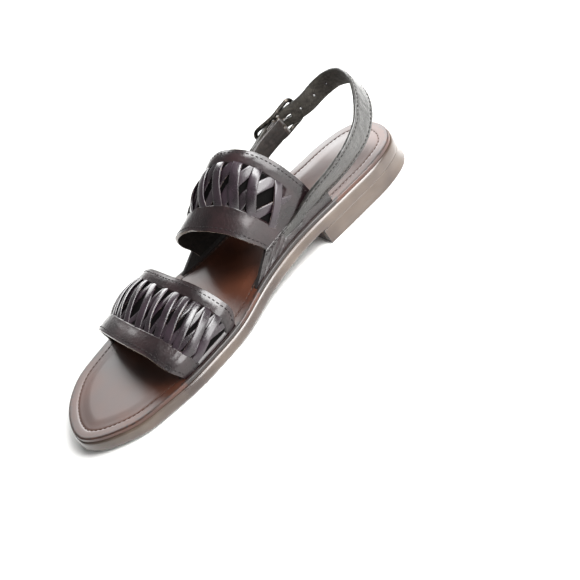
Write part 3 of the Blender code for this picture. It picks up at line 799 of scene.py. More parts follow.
@dataclass(frozen=True)
class DarkenedBrass:
    """Cast brass darkened to near black: a dim mirror, with paler patches where it is rubbed bright."""

    name: str
    dark: str
    rubbed: str
    roughness: float = 0.34
    wear_mm: float = 3.0
    wear_rise_mm: float = 0.3
    wear_depth: float = 0.15
    rubbed_ends: tuple[float, float] = (0.5, 0.75)

    def material(self) -> bpy.types.Material:
        """Makes the finish: dark metal with paler rubbed patches.

        Returns:
            The material.
        """
        material, tree = new_material(self.name)
        wear = noise(tree, self.wear_mm, 4.0)
        rubbed = ranged(tree, wear, self.rubbed_ends)
        surface(
            tree,
            Base_Color=blend(tree, rubbed, linear(self.dark), linear(self.rubbed)),
            Roughness=self.roughness,
            Metallic=1.0,
            Normal=bump(tree, wear, self.wear_depth, self.wear_rise_mm),
        )
        return material


@dataclass
class Finishes:
    """Every finish of the sandal, made once."""

    upper: bpy.types.Material
    strap: bpy.types.Material
    quarter: bpy.types.Material
    buckle_strap: bpy.types.Material
    lacing: bpy.types.Material
    backing: bpy.types.Material
    insole: bpy.types.Material
    edge: bpy.types.Material
    thread: bpy.types.Material
    insole_thread: bpy.types.Material
    buckle: bpy.types.Material

    @classmethod
    def make(cls) -> "Finishes":
        """Makes every finish.

        Returns:
            The finishes.
        """
        # Borders of the bands: nearly black, with a gloss in long soft streaks.
        upper = GlazedLeather("glazed_calf_upper", "#130c0e", "#2a1a1c", "#857a70", specular=0.2)
        # Heel strap: greyer than the bands, and rumpled by wear into large soft creases that break its gloss.
        strap = GlazedLeather("glazed_calf_strap", "#171614", "#302e2b", "#6f655c", mottle_mm=18.0)
        strap = replace(strap, flesh="#2b2824", nap="#46423b")
        strap = replace(strap, crease_mm=5.5, crease_rise_mm=1.9, crease_depth=0.75)
        # Quarters: as the bands, and creased where the leather turns down to the sole.
        quarter = GlazedLeather("creased_calf_quarter", "#110b0c", "#2c2122", "#6f655c")
        quarter = replace(quarter, crease_mm=5.0, crease_rise_mm=1.6, crease_depth=0.9)
        # Buckle's strap: a little browner, creased round the buckle.
        chape = GlazedLeather("glazed_calf_buckle_strap", "#171110", "#33261f", "#7d7468")
        chape = replace(chape, flesh="#120e0c", nap="#2a221e")
        chape = replace(chape, crease_mm=6.0, crease_rise_mm=1.6, crease_depth=0.9)
        # Lacing: smoother and a little more purple than the borders, and each strip takes a narrow highlight.
        lacing = GlazedLeather("glazed_calf_lacing", "#140d11", "#32252e", "#84756c", roughness=0.27)
        lacing = replace(lacing, specular=0.3, grain_depth=0.16, crease_depth=0.4)
        # Insole: reddish brown, smooth, with a broad sheen; its edge colour is the dark wax along the rim, and
        # also the painted shade beside the upper's feet.
        insole = GlazedLeather("glazed_insole", "#2a1108", "#552a14", "#190d08", roughness=0.42)
        insole = replace(insole, mottle_mm=40.0, coat=0.8, coat_roughness=0.36, grain_mm=1.6, grain_depth=0.03)
        insole = replace(insole, crease_mm=30.0, crease_rise_mm=1.2, crease_depth=0.05)
        # Sole edge and heel: sanded, waxed and burnished, so that they take a hard polish with a pale glare.
        edge = GlazedLeather("burnished_sole_edge", "#2e1e17", "#5e5045", "#2c1a14", roughness=0.30)
        edge = replace(edge, mottle_mm=30.0, coat_roughness=0.16, grain_mm=1.2, grain_depth=0.02)
        edge = replace(edge, crease_mm=16.0, crease_rise_mm=1.2, crease_depth=0.04)
        return cls(
            upper=upper.material(),
            strap=strap.material(),
            quarter=quarter.material(),
            buckle_strap=chape.material(),
            # Painted shade: a near-black sheet behind the lacing, so that the gaps between the strips look dark.
            backing=PaintedShadeBacking("matt_black_backing", "#080707").material(),
            lacing=lacing.material(),
            insole=insole.material(),
            edge=edge.material(),
            thread=WaxedThread("waxed_thread", "#1c1617").material(),
            insole_thread=WaxedThread("waxed_insole_thread", "#46332a").material(),
            buckle=DarkenedBrass("darkened_brass", "#2a2826", "#6b645c").material(),
        )


@dataclass
class Sole:
    """Outsole, heel and insole."""

    form: SoleForm
    stations: int = 150
    heel_length: float = 88 * MM
    heel_flare: float = 1.2 * MM
    insole_inset: float = 1.3 * MM
    seam_inset: float = 8.6 * MM
    pad_rise: float = 0.55 * MM
    slot_outer: float = 3.5 * MM
    slot_inner: float = 7.3 * MM
    slot_clearance: float = 0.3 * MM
    slot_depth: tuple[float, float] = (1 * MM, 2 * MM)
    closing: tuple[float, float] = (2.4 * MM, 4.0 * MM)
    bead: tuple[float, float] = (1.7 * MM, 1.5 * MM)
    bead_at_heel: float = 0.3 * MM
    bead_power: float = 2.4
    bead_blend: float = 12 * MM
    heel_stations: int = 60
    heel_gap: float = 0.1 * MM
    side_height: float = 0.7
    rim_drop: float = 0.55 * MM
    rim_width: float = 1.3 * MM
    channel_depth: float = 0.22 * MM
    channel_width: float = 0.75 * MM
    pad_start: float = 0.6 * MM
    pad_width: float = 9.5 * MM
    # The insole's side and rim darken towards dark wax. The rim's darkening reaches a few millimetres inwards as
    # painted shade, and areas of painted shade lie beside the upper's feet.
    side_wax: float = 0.3
    rim_wax_and_shade: float = 0.62
    wax_and_shade_start_mm: float = 3.0
    wax_and_shade_width_mm: float = 4.5
    foot_shade_fade: float = 4 * MM
    foot_shade_margin: float = 1 * MM
    # Pitch and thickness of the stitches; the thread is drawn a little thicker than real so that it shows.
    stitch: tuple[float, float] = (3.4 * MM, 0.6 * MM)

    def closed_solid(self, name: str, rings: Sequence[np.ndarray], rim: np.ndarray | float = 0.0) -> Piece:
        """A solid through rings, lowest first; both ends are closed by quads across the sole.

        Args:
            name: The piece's name.
            rings: The rings.
            rim: How dark each point is made, by dark wax along the rim and by painted shade, from 0 to 1.

        Returns:
            The piece.
        """
        piece = Piece(name)
        piece.add_tube(np.stack(rings), rim)
        return piece

    def outsole(self) -> Piece:
        """Outsole whose side is a bead: inset = r (1 - sqrt(1 - |u|^p)) with u from -1 below to 1 above.

        The lower edge is tight over the heel, so that the two are polished as one.

        Returns:
            The piece.
        """
        below, above = self.bead
        form = self.form
        rings = []
        for u in np.linspace(-1.0, 1.0, 15):
            bead = 1.0 - math.sqrt(max(0.0, 1.0 - abs(u) ** self.bead_power))
            lift = (0.5 + 0.5 * u) * form.outsole
            plain, tight = (
                form.ring(reach * bead, lambda a, lift=lift: form.tread(a) + lift, self.stations)
                for reach in ((above, above) if u > 0 else (below, self.bead_at_heel))
            )
            forward = ease((form.heel_rest - plain[:, 1:2] - self.heel_length) / self.bead_blend + 0.5)
            rings.append(tight + (plain - tight) * forward)
        for inset in self.closing:
            rings.append(form.ring(inset, lambda a: form.tread(a) + form.outsole, self.stations))
            rings.insert(0, form.ring(inset, form.tread, self.stations))
        return self.closed_solid("outsole_dressed", rings)

    def heel(self) -> Piece:
        """Heel block: straight breast, a slight waist and a small flare at the floor.

        Returns:
            The piece.
        """
        rings = []
        # Share of the height and inset of each ring, from the middle of the floor face up to the outsole. The
        # breast draws in by 0.4 of what a ring's inset has over 0.6 mm.
        for share, inset in (
            (0.0, 2.6 * MM),
            (0.0, 0.6 * MM - self.heel_flare),
            (0.015, 0.25 * MM - self.heel_flare),
            (0.05, 0.02 * MM - self.heel_flare),
            (0.12, 0.05 * MM - self.heel_flare),
            (0.3, -0.5 * MM),
            (0.5, -0.1 * MM),
            (0.7, 0.15 * MM),
            (0.9, 0.2 * MM),
            (0.985, 0.22 * MM),
            (1.0, 0.45 * MM),
        ):
            rings.append(
                self.form.ring(
                    inset,
                    lambda along, share=share: share * (self.form.tread(along) - self.heel_gap),
                    self.heel_stations,
                    end=self.heel_length - max(0.0, inset - 0.6 * MM) * 0.4,
                )
            )
        return self.closed_solid("heel_dressed", rings)

    def insole_height(self, along: np.ndarray, inset: float) -> np.ndarray:
        """Insole's upper face: a rim that drops by d (1 - x/w)^2, a Gaussian channel and a smooth padded step.

        Args:
            along: Distances along the shoe.
            inset: Distance inside the outline.

        Returns:
            The height at each.
        """
        from_edge = inset - self.insole_inset
        rim = self.rim_drop * max(0.0, 1.0 - from_edge / self.rim_width) ** 2
        channel = self.channel_depth * math.exp(-(((inset - self.seam_inset) / self.channel_width) ** 2))
        pad = self.pad_rise * float(ease((inset - self.seam_inset - self.pad_start) / self.pad_width))
        return self.form.insole_top(along) - rim - channel + pad

    def wax_and_shade(self, solid: np.ndarray, insets: Sequence[float], feet: Sequence[Foot]) -> np.ndarray:
        """How dark the insole is: dark wax along its rim, widened inwards into painted shade, and painted shade
        where the upper goes down through it.

        The rim's darkening fades inwards by a smooth step, and each foot's painted shade fades by one on every
        side.

        Args:
            solid: The insole's rings, lowest first.
            insets: Inset in millimetres of each ring above its side.
            feet: Name, start, finish and side of each place where the upper goes down.

        Returns:
            The darkness of each point, from 0 to 1.
        """
        # Dark wax along the rim, carried a few millimetres inwards as painted shade.
        fading = ease((np.array(insets) - self.wax_and_shade_start_mm) / self.wax_and_shade_width_mm)
        rows = [self.side_wax] * (len(solid) - len(insets)) + list(self.rim_wax_and_shade - self.rim_wax_and_shade * fading)
        dark = np.broadcast_to(np.array(rows)[:, None], solid.shape[:2])
        across, along, fade = solid[..., 0], self.form.heel_rest - solid[..., 1], self.foot_shade_fade
        # Painted shade: a dark area beside each place where the upper goes down through the insole.
        for _, start, finish, side in feet:
            near = self.form.across(self.slot_inner + self.foot_shade_margin, along)[0 if side is Side.INNER else 1]
            foot_shade = ease(1.0 + (across - near) * side.value / fade) * ease(1.0 + (along - start) / fade)
            dark = np.maximum(dark, foot_shade * ease(1.0 + (finish - along) / fade))
        return dark

    def insole(self, feet: Sequence[Foot]) -> Piece:
        """Insole through rings from its lower edge to the padded middle.

        Args:
            feet: Name, start, finish and side of each place where the upper goes down.

        Returns:
            The piece.
        """
        form, side = self.form, self.side_height * self.form.insole
        rings = [
            form.ring(self.closing[0], form.insole_bottom, self.stations),
            form.ring(self.insole_inset, form.insole_bottom, self.stations),
            form.ring(self.insole_inset, lambda a: form.insole_bottom(a) + side, self.stations),
        ]
        # Insets in millimetres, closest together over the rim and the stitch channel.
        insets = [1.32, 1.5, 1.8, 2.2, 2.7, 3.2, 5.0, 7.0, 7.6, 7.9, 8.2, 8.45, 8.7, 8.95, 9.2, 9.6]
        insets += [10.4, 11.4, 12.4, 13.4, 14.4, 15.4, 16.4, 17.4, 18.4]
        for inset in np.array(insets) * MM:
            rings.append(form.ring(inset, lambda a, inset=inset: self.insole_height(a, inset), self.stations))
        return self.closed_solid("insole_dressed", rings, self.wax_and_shade(np.stack(rings), insets, feet))

    def seam(self) -> Piece:
        """Stitches in the insole's channel, round the whole sole.

        Returns:
            The piece.
        """
        piece = Piece("insole_stitches")
        path = self.form.ring(self.seam_inset, lambda a: self.insole_height(a, self.seam_inset), 400)
        path = np.concatenate([path, path[:1]])
        normal = np.broadcast_to(np.array([0.0, 0.0, 1.0]), path.shape)
        add_stitches(piece, path, normal, *self.stitch)
        return piece

    def slot(self, name: str, start: float, finish: float, side: Side) -> bpy.types.Object:
        """Cutter for the slot in the insole through which an upper's foot goes down.

        Args:
            name: The foot's name.
            start: Distance along the shoe at which the foot starts.
            finish: Distance at which it ends.
            side: The side that it is on.

        Returns:
            The cutter.
        """
        along = np.linspace(start - self.slot_clearance, finish + self.slot_clearance, 60)
        pick = 0 if side is Side.INNER else 1
        near = self.form.across(self.slot_outer, along)[pick]
        far = self.form.across(self.slot_inner, along)[pick]
        under, over = self.slot_depth
        low, high = self.form.insole_bottom(along) - under, self.form.insole_top(along) + over
        corners = ((near, low), (near, high), (far, high), (far, low))
        rings = np.stack([self.form.world(along, across, height) for across, height in corners], axis=1)
        return cutter(name + "_slot", rings)

    def build(self, finishes: Finishes, feet: Sequence[Foot]) -> None:
        """Builds the sole's pieces.

        Args:
            finishes: The sandal's finishes.
            feet: Name, start, finish and side of each place where the upper goes down through the insole.
        """
        self.outsole().build(finishes.edge, "edge", ["outsole"])
        self.heel().build(finishes.edge, "edge", ["heel"])
        insole = self.insole(feet).build(finishes.insole, "insole", ["insole"])
        make_outward(insole.data)
        for name, start, finish, side in feet:
            cut_away(insole, self.slot(name, start, finish, side))
        self.seam().build(finishes.insole_thread, "insole")


@dataclass
class LacedBand:
    """A band over the foot: folded borders at the toe and heel edges, and strips laced between them."""

    name: str
    foot: FootForm
    toe_edge: Table
    heel_edge: Table
    strips: int
    strip_width: float
    ends: tuple[float, float] = (0.0, 1.0)
    footed: bool = True
    wall: float = 2.4 * MM
    lining: float = 1.1 * MM
    toe_border: float = 14.2 * MM
    heel_border: float = 9.4 * MM
    over_rise: float = 2.6 * MM
    under_rise: float = 0.5 * MM
    tuck: float = 1.6 * MM
    strip_thick: float = 1.5 * MM
    slant: float = 1.02
    under_width: float = 0.88
    reach: int = 2
    pucker: float = 0.08 * MM
    crown: float = 0.35 * MM
    bulge: float = 0.0
    bulge_at: float = 0.10
    bulge_width: float = 0.075
    window: tuple[float, float] = (0.03, 0.97)
    closed: tuple[float, float] = (0.0, 0.0)
    first: int = -1
    seed: int = 3
    step_rows: float = 0.022
    step_shares: float = 0.010
    pucker_rows: float = 0.035
    seam_rows: tuple[float, float] = (0.052, 0.945)
    # Pitch and thickness of the stitches, the thread drawn a little thicker than real so that it shows.
    stitch: tuple[float, float] = (3.2 * MM, 0.7 * MM)
    # Rim rows: cut edge shares, and their lift as shares of the wall.
    rim_shares: Row = (0.9, 1.0, 0.9)
    rim_lift: Row = (0.82, 0.45, 0.10)
    backing_margin: tuple[float, float] = (0.006, 0.012)
    backing_faces: tuple[float, float] = (0.22 * MM, -0.15 * MM)
    first_share: float = 0.35
    strip_steps: int = 22
    strip_overlap: float = 0.05
    bow_power: float = 0.62
    twist_degrees: tuple[float, float] = (9.0, 4.0)
    sway: tuple[float, float] = (0.0022, 0.0012)
    width_spread: float = 0.05
    cut_edge: tuple[float, float] = (0.58, -0.30)

    @property
    def length(self) -> float:
        """Length of the sole, which the edge tables are shares of."""
        return self.foot.sole.length

    def rows(self) -> tuple[float, float]:
        """Shares across the band at which the toe border ends and the heel border starts."""
        width = float(spread(self.toe_edge, 0.5) - spread(self.heel_edge, 0.5)) * self.length
        return self.toe_border / width, 1.0 - self.heel_border / width

    def along(self, share: np.ndarray, row: np.ndarray) -> np.ndarray:
        """Distance along the shoe: a straight blend from the toe edge to the heel edge."""
        front = spread(self.toe_edge, share) * self.length
        return front + (spread(self.heel_edge, share) * self.length - front) * row

    def thickness(self, share: np.ndarray, row: np.ndarray) -> np.ndarray:
        """Wall thickness: crowned and puckered borders, and a thin laced window with a soft step round it.

        A border's crown is a squared sine across it, and its puckers are cosines along it that fade off as a
        Gaussian.

        Args:
            share: Shares round the foot.
            row: Shares across the band, from the toe edge to the heel edge.

        Returns:
            The thickness.
        """
        front, rear = self.rows()
        width = (rear - front) * 0.5
        inside = ease((width - np.abs(row - (front + rear) / 2)) / self.step_rows + 0.5)
        inner = self.opening((row - front) / (rear - front))
        inside = inside * ease((share - inner) / self.step_shares + 0.5)
        inside = inside * ease((self.window[1] - share) / self.step_shares + 0.5)
        fade = self.pucker_rows
        near = np.exp(-(((row - front + fade) / fade) ** 2)) + np.exp(-(((row - rear - fade) / fade) ** 2))
        pitch = (self.window[1] - self.window[0]) / self.strips
        turn = 2 * math.pi * (share - self.window[0]) / pitch
        # One wave for each strip, with a second wave that keeps them from looking even.
        pucker = self.pucker * (0.6 * np.cos(turn) + 0.4 * np.cos(2.3 * turn + 1.0)) * near
        crown = self.crown * (
            np.sin(math.pi * np.clip(row / front, 0.0, 1.0)) ** 2
            + np.sin(math.pi * np.clip((1.0 - row) / (1.0 - rear), 0.0, 1.0)) ** 2
        )
        return self.wall - (self.wall - self.lining) * inside + (pucker + crown) * (1 - inside)

    def opening(self, part: np.ndarray) -> np.ndarray:
        """Share at which the laced window starts on the inner side, from toe border (0) to heel border (1)."""
        return self.window[0] + self.closed[0] + (self.closed[1] - self.closed[0]) * np.clip(part, 0.0, 1.0)

    def swell(self, share: np.ndarray) -> np.ndarray:
        """How far the whole band stands off the foot where it turns down to the sole on the inner side."""
        return self.bulge * np.exp(-(((share - self.bulge_at) / self.bulge_width) ** 2))

    def shell(self) -> Piece:
        """The band's wall as a ribbon round the foot: each cross-section is a closed loop with rounded rims.

        Returns:
            The piece.
        """
        front, rear = self.rows()
        shares = np.unique(np.round(np.linspace(*self.ends, 170), 5))
        # Rows are closer together at the steps round the laced window and at both rims.
        near_steps = [np.linspace(step - 0.03, step + 0.03, 7) for step in (front, rear)]
        plain = [[0.006, 0.02, 0.05], np.linspace(0.08, 0.94, 26), [0.97, 0.985, 0.994]]
        rows = np.unique(np.round(np.concatenate(near_steps + plain), 4))
        share, row = np.meshgrid(shares, rows, indexing="ij")
        outer = self.foot.offset(self.along(share, row), share, self.thickness(share, row) + self.swell(share))
        rim_rows, rim_lift = np.array([0.998, 1.0, 0.998]), np.array(self.rim_lift)
        side, edge = np.meshgrid(shares, rim_rows, indexing="ij")
        stand = self.swell(side)
        far = self.foot.offset(self.along(side, edge), side, self.wall * rim_lift[None, :] + stand)
        near = self.foot.offset(self.along(side, 1 - edge), side, self.wall * rim_lift[None, ::-1] + stand)
        back_share, back_row = np.meshgrid(shares, np.linspace(0.985, 0.015, 14), indexing="ij")
        inner = self.foot.offset(self.along(back_share, back_row), back_share, self.swell(back_share))
        loops = np.concatenate([outer, far, inner, near], axis=1)
        rim = np.zeros(loops.shape[1])
        count = len(rows)
        rim[count : count + 3] = rim[-3:] = self.rim_shares
        rim[[0, count - 1]] = 0.15
        inside = np.zeros(loops.shape[1])
        inside[count + 3 : -3] = 1.0
        if self.footed:
            low, high = loops[:1].copy(), loops[-1:].copy()
            for end in (low, high):
                end[..., 2] = self.foot.sole.insole_bottom(self.foot.sole.heel_rest - end[..., 1])
            loops = np.concatenate([low, loops, high])
        piece = Piece(self.name + "_wall")
        piece.add_tube(loops, rim, inside=inside)
        return piece

    def backing(self) -> Piece:
        """Painted shade under the lacing, matt and nearly black: a thin closed sheet over the whole laced
        window.

        Returns:
            The piece.
        """
        front, rear = self.rows()
        end, side = self.backing_margin
        parts, rows = np.linspace(0.0, 1.0, 120), np.linspace(front + side, rear - side, 12)
        part, row = np.meshgrid(parts, rows, indexing="ij")
        start = self.opening((row - front) / (rear - front)) + end
        share = start + (self.window[1] - end - start) * part
        stand = self.lining + self.swell(share)
        along = self.along(share, row)
        outer, inner = (self.foot.offset(along, share, stand + face) for face in self.backing_faces)
        piece = Piece(self.name + "_backing")
        piece.add_tube(np.concatenate([outer, inner[:, ::-1]], axis=1))
        return piece

    def lacing_ends(self) -> tuple[list[tuple[float, float]], list[tuple[float, float]]]:
        """Shares round the foot at the toe and heel border of each strip.

        Returns:
            The upper strips' ends, and those of the strips that cross under.
        """
        pitch = (self.window[1] - self.window[0]) / self.strips
        slant = self.slant * pitch
        starts = self.window[0] + pitch * (np.arange(self.first, self.strips) + self.first_share)
        low, high = self.window
        over = [(a, a + slant) for a in starts if a > low and a + slant < high]
        under = [(a + self.reach * pitch, a + slant) for a in starts if a + self.reach * pitch < high]
        return over, [(toe, heel) for toe, heel in under if heel > low]

    def lacing(self) -> Piece:
        """Flat strips laced from border to border.

        A strip's top stands wall - tuck + (tuck + rise) * sin(pi t)^0.62 above the foot at share t of its run.
        It is thinner at its ends and narrower towards the outer side, and random draws set each one a little
        askew.

        Returns:
            The piece.
        """
        piece = Piece(self.name + "_lacing")
        rng = np.random.default_rng(self.seed)
        front, rear = self.rows()
        steps = np.linspace(0.0, 1.0, self.strip_steps)
        bow = np.sin(math.pi * steps)
        # A strip's section: place across and height, as shares of its width and thickness.
        half = [(-0.5, -0.36), (-0.5, 0.08), (-0.475, 0.27), (-0.41, 0.41), (-0.22, 0.50), (0.0, 0.52)]
        half = np.array(half)
        profile = np.concatenate([half, half[-2::-1] * np.array([-1.0, 1.0]), [(0.4, -0.5), (-0.4, -0.5)]])
        edge = (np.abs(profile[:, 0]) > 0.48) & (np.abs(profile[:, 1]) < 0.4)
        over, under = self.lacing_ends()
        for group, rise, scale in ((under, self.under_rise, self.under_width), (over, self.over_rise, 1.0)):
            for toe_share, heel_share in group:
                wobble = rng.normal(0.0, 1.0, 6)
                share = toe_share + (heel_share - toe_share) * steps + self.sway[0] * wobble[0] * bow
                share = share + self.sway[1] * wobble[1] * np.sin(2 * math.pi * steps)
                row = (front - self.strip_overlap) + (rear - front + 2 * self.strip_overlap) * steps
                points, up = self.foot.frame(self.along(share, row), share)
                side = unit(np.cross(np.gradient(points, axis=0), up))
                turn = self.twist_degrees[0] * wobble[2] + self.twist_degrees[1] * wobble[3]
                twist = np.radians(turn * bow)[:, None]
                side, up = side * np.cos(twist) + up * np.sin(twist), up * np.cos(twist) - side * np.sin(twist)
                top = self.wall - self.tuck + (self.tuck + rise) * bow**self.bow_power + self.swell(share)
                thick = self.strip_thick * (0.42 + 0.58 * bow**0.5)
                middle = top - 0.5 * thick
                wide = self.strip_width * scale * (1.0 + self.width_spread * wobble[4])
                wide = wide * (1.14 - 0.34 * share) * (0.90 + 0.10 * bow**0.6)
                ring = (
                    side[:, None, :] * (wide[:, None] * profile[:, 0])[..., None]
                    + up[:, None, :] * (middle[:, None] + thick[:, None] * profile[:, 1])[..., None]
                )
                cut = self.cut_edge[0] + self.cut_edge[1] * share
                piece.add_tube(points[:, None, :] + ring, edge[None, :] * cut[:, None])
        return piece

    def seams(self) -> Piece:
        """Rows of stitches along both borders, each two thread widths or more from an edge.

        Returns:
            The piece.
        """
        piece = Piece(self.name + "_stitches")
        share = np.linspace(self.ends[0] + 0.02, self.ends[1] - 0.02, 500)
        for row in self.seam_rows:
            line = np.full(share.shape, row)
            points, up = self.foot.frame(self.along(share, line), share)
            lift = self.thickness(share, line) + self.swell(share)
            add_stitches(piece, points + up * lift[:, None], up, *self.stitch)
        return piece

    def build(self, finishes: Finishes, replaces: Sequence[str]) -> None:
        """Builds the band's wall, lacing and stitches.

        Args:
            finishes: The sandal's finishes.
            replaces: CAD nodes that the band stands for.
        """
        self.shell().build(finishes.upper, "upper", replaces)
        # Painted shade: a near-black sheet behind the lacing.
        self.backing().build(finishes.backing, "upper")
        self.lacing().build(finishes.lacing, "upper")
        self.seams().build(finishes.thread, "upper")


@dataclass
class Quarter:
    """Side piece that carries the instep band and a heel strap's end down to the sole."""

    name: str
    foot: FootForm
    side: Side
    table: Table
    height: float = 11.0 * MM
    outer: float = 3.1 * MM
    inner: float = 0.5 * MM
    seam_levels: tuple[float, float] = (0.80, 0.90)
    seam_run: tuple[float, float] = (0.02, 0.80)
    stitch: tuple[float, float] = (3.0 * MM, 0.65 * MM)
    # Each fold: share of the run, slant, width and depth in millimetres.
    folds: Table = (
        (0.12, 0.10, 0.018, 0.7),
        (0.22, 0.16, 0.025, 0.9),
        (0.36, 0.20, 0.020, 0.7),
        (0.55, -0.15, 0.030, 0.6),
        (0.72, -0.20, 0.022, 0.6),
    )

    def place(self, run: np.ndarray, level: np.ndarray) -> tuple[np.ndarray, np.ndarray]:
        """Distance along the shoe and share round the foot at a share of the run and of the height.

        On the form a rise z stands at share asin((z / h)^(n / 2)) / pi.

        Args:
            run: Shares along the quarter, from its toe end.
            level: Shares of its height.

        Returns:
            Distances along the shoe, and shares round the foot.
        """
        length = self.foot.sole.length
        foot, top = spread(self.table, run, 1) * length, spread(self.table, run, 2) * length
        rise = spread(self.table, run, 3) * self.height * level
        along = foot + (top - foot) * level
        ratio = np.clip(rise / self.foot.rise(along), 0.0, 1.0)
        share = np.arcsin(ratio ** (self.foot.fullness / 2)) / math.pi
        return along, share if self.side is Side.INNER else 1.0 - share

    def creases(self, run: np.ndarray, level: np.ndarray) -> np.ndarray:
        """Soft folds where the leather turns down to the sole: slanted Gaussian ridges times sin(pi level).

        Args:
            run: Shares along the quarter.
            level: Shares of its height.

        Returns:
            The depth of the folds.
        """
        fold = np.zeros(np.broadcast(run, level).shape)
        for at, lean, wide, deep in self.folds:
            fold += deep * MM * np.exp(-(((run - at - lean * level) / wide) ** 2)) * np.sin(math.pi * level)
        return fold

    def shell(self) -> Piece:
        """The quarter's wall as closed cross-sections, with its foot held under the insole.

        Returns:
            The piece.
        """
        runs = np.linspace(0.0, 1.0, 110)
        # Round a section: up the outer face, over the rounded top and down the inner face.
        top = [0.975, 0.993, 1.0, 0.993, 0.97]
        level = np.concatenate([np.linspace(0.0, 0.94, 16), top, np.linspace(0.9, 0.0, 8)])
        lift = np.concatenate([np.full(16, 1.0), [0.97, 0.85, 0.5, 0.15, 0.0], np.zeros(8)])
        run, high = np.meshgrid(runs, level, indexing="ij")
        along, share = self.place(run, high)
        outward = self.inner + (self.outer - self.inner) * lift[None, :]
        outward = outward - self.creases(run, high) * (lift[None, :] > 0.9)
        loops = self.foot.offset(along, share, outward)
        low, last = loops[:, :1].copy(), loops[:, -1:].copy()
        for end in (low, last):
            end[..., 2] = self.foot.sole.insole_bottom(self.foot.sole.heel_rest - end[..., 1])
        loops = np.concatenate([low, loops, last], axis=1)
        rim = np.concatenate([np.zeros(18), [0.15, 0.35, 0.35], np.zeros(10)])
        inside = np.concatenate([np.zeros(21), np.ones(10)])
        piece = Piece(self.name + "_wall")
        piece.add_tube(loops, rim, inside=inside)
        return piece

    def seams(self) -> Piece:
        """Two rows of stitches that join the quarter to the band.

        Returns:
            The piece.
        """
        piece = Piece(self.name + "_stitches")
        run = np.linspace(*self.seam_run, 300)
        for level in self.seam_levels:
            along, share = self.place(run, np.full(run.shape, level))
            points, up = self.foot.frame(along, share)
            add_stitches(piece, points + up * self.outer, up, *self.stitch)
        return piece

    def build(self, finishes: Finishes) -> None:
        """Builds the quarter's wall and stitches.

        Args:
            finishes: The sandal's finishes.
        """
        piece = self.shell().build(finishes.quarter, "upper")
        make_outward(piece.data)
        self.seams().build(finishes.thread, "upper")


